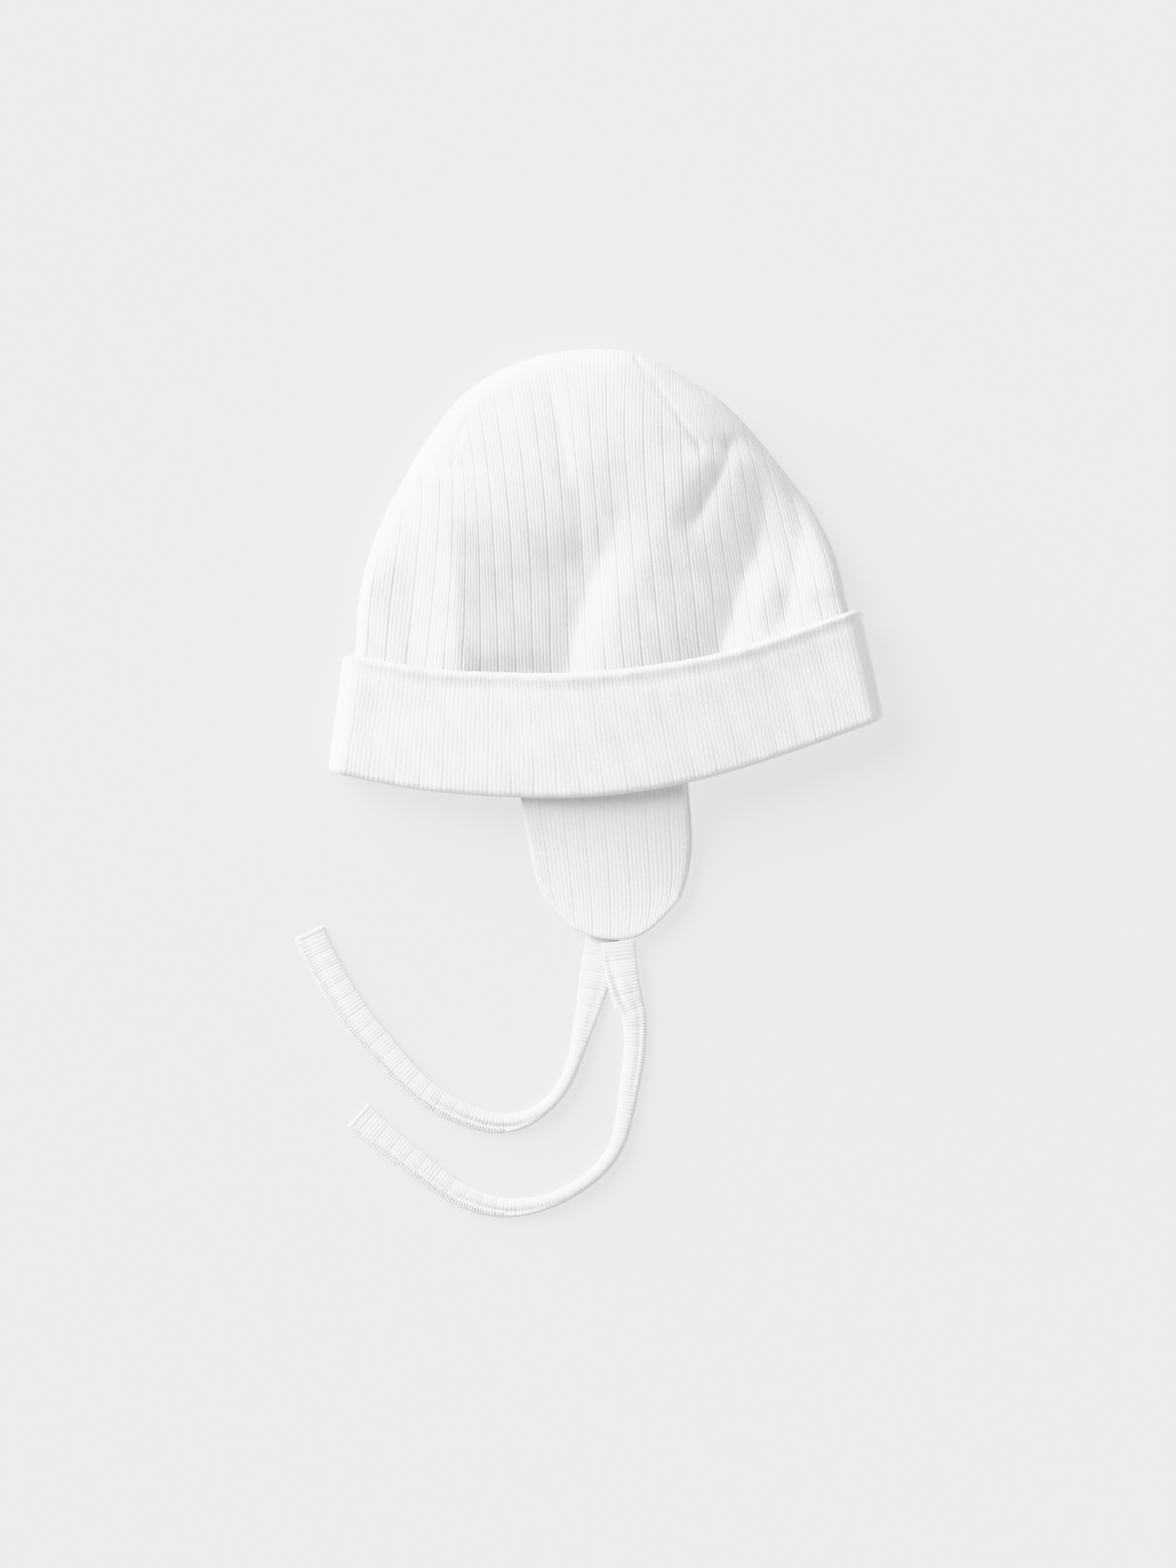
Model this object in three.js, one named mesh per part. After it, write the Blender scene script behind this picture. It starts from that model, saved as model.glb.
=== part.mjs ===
// A baby's rib-knit nightcap with a turned-up cuff, two ear flaps and two ties.
// It lies on its side on a table at z = 0, with its mouth towards -Y and its top towards +Y,
// and the cuff runs along X. The soft cap has puffed up a little, so its upper sheet stands
// above its lower sheet with the head space between them. All sizes are in millimetres.
import * as THREE from 'three';

// Cloth thicknesses, and the gap that is left between neighbouring pieces.
const crownWall = 1.5;
const cuffWall = 2.4;
const flapThickness = 2.2;
const clearance = 0.4;

// Knitted ribs: grooves run from the mouth to the top, one at each whole rib number.
const crownRibs = 28;
const flapRibs = 8;
const grooveDepth = 0.4;

// Sections of the crown from its mouth up to its top fold. Each row is one knitted course:
// x and y say where it passes every fourth rib, crest and side are the heights of the upper
// sheet in the middle and beside the side folds, fold is the height of the side fold itself
// and round is how far in from the outline the upper sheet levels out.
const crownSections = [
  { name: 'mouth', x: [-92.1, -65.0, -37.0, -8.7, 19.3, 45.4, 69.2, 91.6],
    y: [-41.2, -46.5, -49.0, -49.3, -45.9, -39.5, -31.6, -23.5], crest: 15.4, side: 9.5, fold: 6.0, round: 8 },
  { name: 'cuff top', x: [-86.2, -61.6, -36.7, -12.6, 12.6, 38.4, 61.6, 82.9],
    y: [-3.4, -7.6, -9.2, -9.5, -7.3, -2.8, 4.2, 11.5], crest: 19.0, side: 10.5, fold: 6.0, round: 8 },
  { name: 'low', x: [-85.5, -59.1, -37.5, -13.4, 10.1, 35.8, 58.5, 80.9],
    y: [9.5, 14.8, 16.2, 18.5, 19.9, 19.3, 21.6, 21.0], crest: 22.0, side: 11.5, fold: 5.5, round: 9 },
  { name: 'middle', x: [-83.7, -57.4, -38.6, -14.8, 7.6, 32.8, 54.9, 78.4],
    y: [21.6, 35.3, 41.4, 47.9, 47.9, 42.3, 39.5, 30.0], crest: 24.0, side: 12.0, fold: 5.5, round: 10 },
  { name: 'high', x: [-80.4, -56.8, -41.2, -17.6, 6.2, 31.4, 51.2, 74.5],
    y: [33.9, 55.7, 66.9, 74.8, 75.3, 65.2, 57.7, 39.2], crest: 22.0, side: 12.0, fold: 5.5, round: 12 },
  { name: 'top fold', x: [-75.3, -60.2, -44.5, -21.3, 7.0, 30.0, 46.2, 69.2],
    y: [46.2, 72.2, 89.3, 99.4, 100.6, 89.6, 77.0, 48.7], crest: 17.0, side: 12.0, fold: 5.5, round: 14 },
];
const cuffTop = 1;
const topFold = crownSections.length - 1;

// Folds and hollows of the upper sheet. Each runs down the cap along its path; left and right
// are its half widths on either side, seen from above, and rise is how far it lifts the cloth.
const folds = [
  { name: 'left crease', path: [[-66.9, 57.7], [-56.8, 38.1], [-53.2, 14.3], [-52.1, -10.9]],
    left: 11, right: 6, rise: 2.2 },
  { name: 'top hollow', path: [[-21.0, 87.1], [-18.2, 70.3], [-14.8, 50.7]], left: 9, right: 5, rise: -1.2 },
  { name: 'centre hollow', path: [[-14.3, 50.7], [-8.7, 25.5], [-10.6, 3.1], [-14.8, -13.7]],
    left: 27, right: 8, rise: -6.0 },
  { name: 'centre ridge', path: [[9.0, 56.3], [7.6, 31.1], [3.9, 8.7], [0.6, -10.9]], left: 6, right: 9, rise: 1.8 },
  { name: 'right crest', path: [[39.8, 73.6], [33.3, 47.9], [21.6, 28.3], [9.0, 5.9]], left: 12, right: 7, rise: 1.8 },
  { name: 'right hollow', path: [[45.4, 64.7], [56.8, 42.3], [54.0, 19.9], [41.2, -2.5]],
    left: 21, right: 5, rise: -5.0 },
  { name: 'cuff hollow', path: [[-79.0, -19.0], [-58.0, -17.0], [-38.0, -15.0]], left: 7, right: 7, rise: -1.8 },
];
const foldSteps = 12;

// The cuff leans away from the crown towards its top edge.
const cuffStandOff = 1.2;

// The cuff's section, round the crown's mouth edge. Each row is a line along the cuff: how far
// up the crown it lies, how far out from the crown's face, how much of the stand-off and of the
// ribs it takes, and how far it hangs below the crown's edge.
const cuffOut = clearance + cuffWall;
const cuffSection = [
  { name: 'inner top', course: 1.0, out: clearance, lean: 1, ribbed: 0, below: 0 },
  { name: 'inner middle', course: 0.5, out: clearance, lean: 0.4, ribbed: 0, below: 0 },
  { name: 'seat outside the crown edge', course: 0, out: clearance, lean: 0, ribbed: 0, below: clearance },
  { name: 'seat inside the crown edge', course: 0, out: -crownWall, lean: 0, ribbed: 0, below: clearance },
  { name: 'fold, inner side', course: 0, out: -crownWall + 0.3, lean: 0, ribbed: 0, below: 1.5 },
  { name: 'fold, lowest line', course: 0, out: 0.4, lean: 0, ribbed: 0, below: 2.6 },
  { name: 'fold, outer side', course: 0, out: cuffOut - 0.6, lean: 0, ribbed: 0.5, below: 1.5 },
  { name: 'outer bottom', course: 0.12, out: cuffOut, lean: 0, ribbed: 1, below: 0 },
  { name: 'outer low', course: 0.4, out: cuffOut, lean: 0.2, ribbed: 1, below: 0 },
  { name: 'outer high', course: 0.7, out: cuffOut, lean: 0.6, ribbed: 1, below: 0 },
  { name: 'outer top', course: 0.95, out: cuffOut, lean: 0.95, ribbed: 1, below: 0 },
  { name: 'top edge', course: 1.04, out: clearance + cuffWall / 2, lean: 1, ribbed: 0, below: 0 },
];

// Sections of an ear flap from its root inside the mouth to its tip, with x and y at every
// second rib. Upper and lower are the heights of the middle of the cloth on the two flaps.
const flapSections = [
  { name: 'root', x: [-32.0, -17.5, -3.0, 11.5, 26.0], y: [-36.0, -37.0, -37.0, -36.0, -34.0],
    upper: 11.5, lower: 5.8 },
  { name: 'cuff edge', x: [-29.4, -15.3, -1.2, 12.9, 27.0], y: [-51.5, -52.5, -52.5, -51.0, -48.0],
    upper: 11.3, lower: 5.6 },
  { name: 'middle', x: [-26.5, -13.0, 0.7, 14.5, 28.4], y: [-68.0, -72.0, -74.0, -72.0, -66.0],
    upper: 6.6, lower: 2.4 },
  { name: 'low', x: [-24.2, -11.5, 1.6, 15.2, 27.4], y: [-79.5, -87.0, -90.0, -87.0, -78.0],
    upper: 4.0, lower: 1.25 },
  { name: 'tip', x: [-21.3, -10.6, 1.5, 13.4, 24.6], y: [-86.3, -97.0, -100.6, -98.2, -87.5],
    upper: 3.8, lower: 1.15 },
];
const flapEdgeThickness = 1.0;
const flapEdgeRound = 3;
const lowerFlapShift = new THREE.Vector2(0.9, 1.2);

// Routes of the two ties on the table, from the flap's tip to the free end. Width is what
// shows from above: the tie is one folded strip of cloth that rolls up where it is narrow, so
// its thickness is the strip's section area over its width. Under is the height it lies at.
const tieSectionArea = 20.5;
const tieFloor = 0.1;
const upperTieRoute = [
  { x: 3.9, y: -101.2, width: 11.8, under: 2.9 },
  { x: 4.5, y: -106.6, width: 11.4, under: 2.5 },
  { x: 5.6, y: -114.0, width: 11.0, under: 2.4 },
  { x: 7.1, y: -120.7, width: 10.4, under: 1.8 },
  { x: 9.2, y: -126.3, width: 8.6, under: 0.8 },
  { x: 9.8, y: -134.1, width: 7.6, under: tieFloor },
  { x: 9.2, y: -142.5, width: 7.2, under: tieFloor },
  { x: 7.8, y: -150.9, width: 6.9, under: tieFloor },
  { x: 6.4, y: -159.9, width: 6.2, under: tieFloor },
  { x: 3.9, y: -170.0, width: 5.4, under: tieFloor },
  { x: -1.4, y: -178.4, width: 4.9, under: tieFloor },
  { x: -10.1, y: -185.4, width: 4.9, under: tieFloor },
  { x: -20.4, y: -190.4, width: 5.2, under: tieFloor },
  { x: -30.8, y: -192.4, width: 6.3, under: tieFloor },
  { x: -40.6, y: -191.5, width: 7.1, under: tieFloor },
  { x: -51.2, y: -187.3, width: 8.1, under: tieFloor },
  { x: -61.0, y: -180.6, width: 8.7, under: tieFloor },
  { x: -70.8, y: -173.0, width: 9.3, under: tieFloor },
  { x: -78.7, y: -166.6, width: 10.0, under: tieFloor },
  { x: -85.4, y: -160.7, width: 10.6, under: tieFloor },
];
const lowerTieRoute = [
  { x: -1.1, y: -99.8, width: 11.8, under: 0.2 },
  { x: -2.5, y: -107.5, width: 11.6, under: tieFloor },
  { x: -4.2, y: -115.4, width: 10.6, under: tieFloor },
  { x: -5.9, y: -122.9, width: 8.8, under: tieFloor },
  { x: -7.8, y: -130.2, width: 7.2, under: tieFloor },
  { x: -9.9, y: -138.3, width: 5.6, under: tieFloor },
  { x: -12.6, y: -146.4, width: 4.8, under: tieFloor },
  { x: -16.5, y: -153.2, width: 4.7, under: tieFloor },
  { x: -22.4, y: -159.0, width: 4.9, under: tieFloor },
  { x: -29.7, y: -162.7, width: 5.9, under: tieFloor },
  { x: -37.8, y: -163.5, width: 6.8, under: tieFloor },
  { x: -46.2, y: -161.4, width: 7.6, under: tieFloor },
  { x: -54.6, y: -157.6, width: 8.4, under: tieFloor },
  { x: -62.4, y: -152.6, width: 8.8, under: tieFloor },
  { x: -70.3, y: -145.3, width: 9.6, under: tieFloor },
  { x: -78.1, y: -136.4, width: 10.4, under: tieFloor },
  { x: -85.4, y: -127.7, width: 10.6, under: tieFloor },
  { x: -92.7, y: -116.5, width: 10.8, under: tieFloor },
  { x: -98.0, y: -106.7, width: 10.9, under: tieFloor },
  { x: -102.1, y: -97.9, width: 10.9, under: tieFloor },
];

// Mesh fineness: two columns a rib, and the courses at which rows of points are laid.
const columnsPerRib = 2;
const crownOuterCourses = [0, 0.5, 1, 1.35, 1.75, 2.15, 2.55, 2.95, 3.35, 3.75, 4.15, 4.45, 4.7, 4.87, 4.96, 5];
const crownInnerCourses = [0, 1, 2, 3, 4, 4.6, 4.87, 5];
const flapCourses = [0, 0.5, 1, 1.5, 2, 2.5, 3, 3.5, 3.8, 4];
const tieSides = 10;

const whiteRibKnit = new THREE.MeshStandardMaterial({ color: 0xf1f1ee, roughness: 0.95, metalness: 0 });
const whiteTieKnit = new THREE.MeshStandardMaterial({ color: 0xf3f3f0, roughness: 0.95, metalness: 0 });

// Whole and part numbers from one value to another.
function range(from, to, step) {
  const count = Math.round((to - from) / step);
  return Array.from({ length: count + 1 }, (_, index) => from + index * step);
}

// Joins rows of points into one closed skin. Each row is a closed ring with as many points as
// the others. A row that lies flat on itself closes an end, and a looped skin joins its last
// row to its first.
function skin(name, material, rows, looped = false) {
  const positions = [];
  const known = new Map();
  const numberOf = (point) => {
    const key = point.toArray().map((value) => value.toFixed(3)).join(' ');
    if (!known.has(key)) {
      known.set(key, known.size);
      positions.push(...point.toArray());
    }
    return known.get(key);
  };
  const numbers = rows.map((row) => row.map(numberOf));
  const faces = [];
  const addFace = (a, b, c) => {
    if (a !== b && b !== c && c !== a) {
      faces.push(a, b, c);
    }
  };
  const strips = looped ? rows.length : rows.length - 1;
  for (let strip = 0; strip < strips; strip += 1) {
    const near = numbers[strip];
    const far = numbers[(strip + 1) % rows.length];
    for (let k = 0; k < near.length; k += 1) {
      const next = (k + 1) % near.length;
      addFace(near[k], near[next], far[next]);
      addFace(near[k], far[next], far[k]);
    }
  }
  const geometry = new THREE.BufferGeometry();
  geometry.setAttribute('position', new THREE.Float32BufferAttribute(positions, 3));
  geometry.setIndex(faces);
  geometry.computeVertexNormals();
  const mesh = new THREE.Mesh(geometry, material);
  mesh.name = name;
  return mesh;
}

// The point of a line that is nearest to a place: how far it is, and the unit direction to the
// left of the line's travel there. On the left of the line the side is positive.
function nearest(line, place) {
  let best = { distance: Infinity };
  for (let index = 1; index < line.length; index += 1) {
    const along = line[index].clone().sub(line[index - 1]);
    const offset = place.clone().sub(line[index - 1]);
    const share = THREE.MathUtils.clamp(offset.dot(along) / along.lengthSq(), 0, 1);
    const away = offset.addScaledVector(along, -share);
    if (away.length() < best.distance) {
      const left = new THREE.Vector2(-along.y, along.x).normalize();
      best = { distance: away.length(), left, side: away.dot(left) };
    }
  }
  return best;
}

// A sheet's plan: stations along each section are joined by smooth curves, and so are the
// places of one rib on all the sections. Course 0 is the first section, 1 the next, and so on.
function sheetPlan(sections, ribs) {
  const curves = sections.map((section) => new THREE.SplineCurve(
    section.x.map((x, station) => new THREE.Vector2(x, section.y[station]))));
  return (rib, course) => {
    const alongRib = new THREE.SplineCurve(curves.map((curve) => curve.getPoint(rib / ribs)));
    return alongRib.getPoint(course / (sections.length - 1));
  };
}

// A smooth curve through one column of a table of sections.
function sectionValue(sections, column) {
  const curve = new THREE.SplineCurve(sections.map((section, index) => new THREE.Vector2(index, section[column])));
  return (course) => curve.getPoint(course / (sections.length - 1)).y;
}

// The free outline of a sheet: up one side, along its last section and down the other side.
function sheetOutline(plan, ribs, lastCourse) {
  const up = range(0, lastCourse, lastCourse / 40).map((course) => plan(0, course));
  const across = range(0, ribs, ribs / 56).map((rib) => plan(rib, lastCourse));
  const down = range(0, lastCourse, lastCourse / 40).reverse().map((course) => plan(ribs, course));
  return [...up, ...across.slice(1), ...down.slice(1)];
}

// A quarter circle: 0 at the outline, 1 where the sheet levels out.
function rounding(share) {
  return Math.sqrt(1 - (1 - THREE.MathUtils.clamp(share, 0, 1)) ** 2);
}

// A rib's cross wave: 1 in the groove at each whole rib, 0 on the crest between two grooves.
function groove(rib) {
  return 0.5 + 0.5 * Math.cos(2 * Math.PI * rib);
}

const crownPlan = sheetPlan(crownSections, crownRibs);
const crownOutline = sheetOutline(crownPlan, crownRibs, topFold);
const crownValue = {
  crest: sectionValue(crownSections, 'crest'),
  side: sectionValue(crownSections, 'side'),
  fold: sectionValue(crownSections, 'fold'),
  round: sectionValue(crownSections, 'round'),
};
const foldLines = folds.map((fold) => {
  const curve = new THREE.SplineCurve(fold.path.map(([x, y]) => new THREE.Vector2(x, y)));
  return { ...fold, line: curve.getPoints(foldSteps) };
});

// How far the folds lift the upper sheet at a place. The width passes smoothly from the left
// value to the right one round a fold's ends, and paths run down, so their left is +X.
function foldLift(place) {
  let lift = 0;
  for (const fold of foldLines) {
    const { distance, side } = nearest(fold.line, place);
    const leftShare = 0.5 - 0.5 * (distance > 0 ? side / distance : 0);
    const width = THREE.MathUtils.lerp(fold.right, fold.left, leftShare);
    lift += fold.rise * Math.exp(-((distance / width) ** 2));
  }
  return lift;
}

// Height that the upper sheet levels out to: an arch from side fold to side fold, with the
// folds dying out under the cuff, whose doubled cloth stays smooth.
function upperHeight(rib, course, place) {
  const across = rib / crownRibs * 2 - 1;
  const arch = (1 - across * across) ** 0.9;
  const slack = THREE.MathUtils.smoothstep(course, 0.3, cuffTop + 0.5);
  return THREE.MathUtils.lerp(crownValue.side(course), crownValue.crest(course), arch) + slack * foldLift(place);
}

// Height of the lower sheet: it lies on the cuff near the mouth, and on the table beyond it.
function lowerHeight(course) {
  return cuffOut * (1 - THREE.MathUtils.smoothstep(course, cuffTop + 0.05, cuffTop + 0.9));
}

// A point of the crown's smooth outer face.
function crownPoint(upper, rib, course) {
  const place = crownPlan(rib, course);
  const fold = crownValue.fold(course);
  const level = upper ? upperHeight(rib, course, place) : lowerHeight(course);
  const round = upper ? crownValue.round(course) : fold - level;
  const share = nearest(crownOutline, place).distance / round;
  return new THREE.Vector3(place.x, place.y, fold + (level - fold) * rounding(share));
}

// The outward direction there: level at the outline, and square to the face elsewhere.
function crownOutward(upper, rib, course) {
  const edge = nearest(crownOutline, crownPlan(rib, course));
  const onOutline = 0.05;
  if (edge.distance < onOutline) {
    return new THREE.Vector3(edge.left.x, edge.left.y, 0);
  }
  const step = 0.02;
  const along = crownPoint(upper, Math.min(rib + step, crownRibs), course)
    .sub(crownPoint(upper, Math.max(rib - step, 0), course));
  const up = crownPoint(upper, rib, Math.min(course + step, topFold))
    .sub(crownPoint(upper, rib, Math.max(course - step, 0)));
  const normal = along.cross(up).normalize();
  return upper ? normal : normal.negate();
}

// Where ribs stand out: all over the upper sheet, and on the lower one only beside the outline,
// because the cloth is pressed flat on the table.
function ribShare(upper, rib, course) {
  if (upper) {
    return 1;
  }
  const flat = crownValue.fold(course) - lowerHeight(course);
  return 1 - rounding(nearest(crownOutline, crownPlan(rib, course)).distance / flat);
}

// One ring of columns round the cap: along the upper sheet and back along the lower one.
const columns = [
  ...range(0, crownRibs, 1 / columnsPerRib).map((rib) => ({ upper: true, rib })),
  ...range(1 / columnsPerRib, crownRibs - 1 / columnsPerRib, 1 / columnsPerRib)
    .reverse().map((rib) => ({ upper: false, rib })),
];

function makeCrown() {
  const outerRow = (course) => columns.map(({ upper, rib }) => {
    const depth = grooveDepth * groove(rib) * ribShare(upper, rib, course);
    return crownPoint(upper, rib, course).addScaledVector(crownOutward(upper, rib, course), -depth);
  });
  const innerRow = (course) => columns.map(({ upper, rib }) => (
    crownPoint(upper, rib, course).addScaledVector(crownOutward(upper, rib, course), -crownWall)));
  const rows = [...crownInnerCourses.toReversed().map(innerRow), ...crownOuterCourses.map(outerRow)];
  return skin('crown', whiteRibKnit, rows);
}

function makeCuff() {
  const shortWay = 0.05;
  const rows = cuffSection.map((line) => columns.map(({ upper, rib }) => {
    const point = crownPoint(upper, rib, line.course);
    const down = crownPoint(upper, rib, 0).sub(crownPoint(upper, rib, shortWay)).normalize();
    const free = ribShare(upper, rib, line.course);
    const depth = grooveDepth * groove(rib) * free * line.ribbed;
    const out = line.out + cuffStandOff * line.lean * free - depth;
    return point.addScaledVector(crownOutward(upper, rib, line.course), out).addScaledVector(down, line.below);
  }));
  return skin('cuff', whiteRibKnit, rows, true);
}

// An ear flap: two layers of cloth turned out, so its free edge is rounded and a little thinner.
function makeFlap(name, heightColumn, shift) {
  const plan = sheetPlan(flapSections, flapRibs);
  const tip = flapSections.length - 1;
  const outline = sheetOutline(plan, flapRibs, tip);
  const height = sectionValue(flapSections, heightColumn);
  const ribs = range(0, flapRibs, 1 / columnsPerRib);
  const face = (rib, course, sign) => {
    const place = plan(rib, course);
    const full = rounding(nearest(outline, place).distance / flapEdgeRound);
    const half = THREE.MathUtils.lerp(flapEdgeThickness, flapThickness - grooveDepth * groove(rib), full) / 2;
    return new THREE.Vector3(place.x + shift.x, place.y + shift.y, height(course) + sign * half);
  };
  const row = (course, closed) => [
    ...ribs.map((rib) => face(rib, course, closed ? 0 : 1)),
    ...ribs.toReversed().map((rib) => face(rib, course, closed ? 0 : -1)),
  ];
  const rows = [
    row(tip, true),
    ...flapCourses.toReversed().map((course) => row(course, false)),
    row(0, true),
  ];
  return skin(name, whiteRibKnit, rows);
}

// A tie: a flattened round section carried along its route, with its underside at the height
// that it lies at.
function makeTie(name, route) {
  const curve = new THREE.CatmullRomCurve3(route.map(({ x, y }) => new THREE.Vector3(x, y, 0)));
  const angles = range(0, tieSides - 1, 1).map((side) => side / tieSides * 2 * Math.PI);
  const squareness = 0.75;
  const bulge = (value) => Math.sign(value) * Math.abs(value) ** squareness;
  const ring = (station, closed) => {
    const { x, y, width, under } = route[station];
    const ahead = curve.getTangent(station / (route.length - 1));
    const thickness = tieSectionArea / width;
    return angles.map((angle) => {
      const across = bulge(Math.cos(angle)) * width / 2;
      const rise = closed ? 0 : bulge(Math.sin(angle)) * thickness / 2;
      return new THREE.Vector3(x + ahead.y * across, y - ahead.x * across, under + thickness / 2 + rise);
    });
  };
  const last = route.length - 1;
  const rows = [ring(0, true), ...route.map((_, station) => ring(station, false)), ring(last, true)];
  return skin(name, whiteTieKnit, rows.reverse());
}

const nightcap = new THREE.Group();
nightcap.add(
  makeCrown(),
  makeCuff(),
  makeFlap('ear_flap_upper', 'upper', new THREE.Vector2(0, 0)),
  makeFlap('ear_flap_lower', 'lower', lowerFlapShift),
  makeTie('tie_upper', upperTieRoute),
  makeTie('tie_lower', lowerTieRoute),
);

export default nightcap;
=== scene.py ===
"""A baby's rib-knit nightcap lying on its side: a crown, a turned-up cuff, two ear flaps and two ties.

All sizes are in metres. The table is at z = 0, the cap's mouth faces -Y, its top +Y, and the cuff runs
along X. Every surface is worked out with numpy on a grid of ribs and courses, as the cloth is knitted:
ribs run from the mouth to the top, and courses cross them.
"""

import bpy
import numpy as np
from bpy.props import FloatProperty, FloatVectorProperty, PointerProperty
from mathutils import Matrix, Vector


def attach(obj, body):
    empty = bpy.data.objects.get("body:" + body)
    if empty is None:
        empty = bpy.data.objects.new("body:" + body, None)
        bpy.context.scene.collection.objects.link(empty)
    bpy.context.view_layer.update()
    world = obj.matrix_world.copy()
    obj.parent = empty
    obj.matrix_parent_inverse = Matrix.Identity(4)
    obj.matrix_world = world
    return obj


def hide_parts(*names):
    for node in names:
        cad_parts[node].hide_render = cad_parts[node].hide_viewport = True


bl_info = {
    "name": "Rib-knit nightcap",
    "version": (1, 0, 0),
    "blender": (4, 5, 0),
    "location": "View3D > Sidebar > Nightcap",
    "description": "Makes a baby's rib-knit nightcap with a cuff, ear flaps and ties, lying on a table",
    "category": "Add Mesh",
}

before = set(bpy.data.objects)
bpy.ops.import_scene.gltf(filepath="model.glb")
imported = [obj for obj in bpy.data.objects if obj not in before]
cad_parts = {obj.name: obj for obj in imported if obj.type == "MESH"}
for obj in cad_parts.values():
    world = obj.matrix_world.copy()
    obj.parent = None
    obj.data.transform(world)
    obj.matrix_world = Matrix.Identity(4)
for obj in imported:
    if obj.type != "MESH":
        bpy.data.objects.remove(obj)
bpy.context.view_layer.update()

# Cloth, and the gap that is left between neighbouring pieces. The edge power rounds the sheets off at
# their outline, and the arch power shapes the upper sheet's arch from side fold to side fold.
CROWN_WALL = 0.0015
CUFF_WALL = 0.0024
FLAP_THICKNESS = 0.0022
CLEARANCE = 0.0004
CUFF_OUT = CLEARANCE + CUFF_WALL
EDGE_POWER = 2.6
ARCH_POWER = 0.9

# Unevenness: how far ribs stray from their lines, in ribs, and how high the upper sheet's soft bumps
# are, with how fast each changes over the cloth.
RIB_STRAY = 0.035
STRAY_PER_RIB = 0.8
STRAY_LENGTH = 0.014
UNEVEN_HEIGHT = 0.00022
UNEVEN_LENGTHS = (0.0052, 0.0070)

# Knitted ribs: a groove lies at each whole rib number, with single ribs between two grooves. Groove
# half is half a groove's width in ribs.
CROWN_RIBS = 28
FLAP_RIBS = 8
SINGLE_RIBS = 5
STITCH_HEIGHT = 0.00105
GROOVE_HALF = 0.045

# Points of the meshes: so many to a rib, and every fourth of those lines on the lower sheet and inside.
POINTS_A_RIB = 20
COARSE_STEP = 4

# The cuff starts part of a rib in, and has fewer ribs than the crown's rib lines that it is laid along.
# Its doubled cloth shows a share of their relief. Its grooves pass from the low share of their depth at
# the bottom fold to the high share at the level. It leans away from the crown, by the stand-off at its
# top edge, and on the lower sheet only within the lean ribs of a side fold. Within the corner ribs of
# both side folds its top edge drops by the corner.
CUFF_FIRST_RIB = 0.23
CUFF_RIB_SHARE = 0.896
CUFF_RELIEF = 0.60
CUFF_GROOVES_HIGH = 0.3
CUFF_GROOVES_LOW = 0.8
CUFF_GROOVES_LEVEL = 0.35
CUFF_STAND_OFF = 0.0012
CUFF_LEAN_RIBS = 1.6
CUFF_CORNER = 0.0018
CUFF_CORNER_RIBS = 0.5

# The ear flaps: how far in they round off, the share of the ribs' relief on either side, and the share
# of painted shade that their grooves take.
FLAP_ROUND = 0.0022
FLAP_GROOVES = 0.45
FLAP_UNDERSIDE = 0.4
FLAP_PAINTED_GROOVE_SHADE = 0.5

# Names under which a mesh keeps each point's place in the knit and its share of groove, which sets
# the painted shade in the grooves.
KNIT_MAP = "knit"
PAINTED_GROOVE_SHADE_FIELD = "groove"

# Sections of the crown from its mouth up to its top fold. Each row is one knitted course: x and y say
# where it passes every fourth rib, crest, left and right are the heights of the upper sheet in the
# middle and beside the two side folds, fold is the height of the side folds themselves and round is
# how far in from the outline the upper sheet levels out.
CROWN_SECTIONS = [
    {"name": "mouth", "x": [-0.0921, -0.0650, -0.0370, -0.0087, 0.0193, 0.0454, 0.0692, 0.0916],
     "y": [-0.0412, -0.0465, -0.0490, -0.0493, -0.0459, -0.0395, -0.0316, -0.0235],
     "crest": 0.0168, "left": 0.0114, "right": 0.0140, "fold": 0.0060, "round": 0.0040},
    {"name": "cuff top", "x": [-0.0862, -0.0616, -0.0367, -0.0126, 0.0126, 0.0384, 0.0616, 0.0829],
     "y": [-0.0034, -0.0076, -0.0092, -0.0095, -0.0073, -0.0028, 0.0042, 0.0115],
     "crest": 0.0206, "left": 0.0124, "right": 0.0138, "fold": 0.0060, "round": 0.0040},
    {"name": "low", "x": [-0.0855, -0.0591, -0.0375, -0.0134, 0.0101, 0.0358, 0.0585, 0.0809],
     "y": [0.0095, 0.0148, 0.0162, 0.0185, 0.0199, 0.0193, 0.0216, 0.0210],
     "crest": 0.0226, "left": 0.0132, "right": 0.0146, "fold": 0.0055, "round": 0.0050},
    {"name": "middle", "x": [-0.0837, -0.0574, -0.0386, -0.0148, 0.0076, 0.0328, 0.0549, 0.0784],
     "y": [0.0216, 0.0353, 0.0414, 0.0479, 0.0479, 0.0423, 0.0395, 0.0300],
     "crest": 0.0234, "left": 0.0145, "right": 0.0120, "fold": 0.0055, "round": 0.0050},
    {"name": "high", "x": [-0.0804, -0.0568, -0.0412, -0.0176, 0.0062, 0.0314, 0.0512, 0.0745],
     "y": [0.0339, 0.0557, 0.0669, 0.0748, 0.0753, 0.0652, 0.0577, 0.0392],
     "crest": 0.0215, "left": 0.0130, "right": 0.0100, "fold": 0.0055, "round": 0.0055},
    {"name": "top fold", "x": [-0.0753, -0.0602, -0.0445, -0.0213, 0.0070, 0.0300, 0.0462, 0.0692],
     "y": [0.0462, 0.0722, 0.0893, 0.0994, 0.1006, 0.0896, 0.0770, 0.0487],
     "crest": 0.0168, "left": 0.0110, "right": 0.0090, "fold": 0.0055, "round": 0.0080},
]
CUFF_TOP = 1
TOP_FOLD = len(CROWN_SECTIONS) - 1

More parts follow.
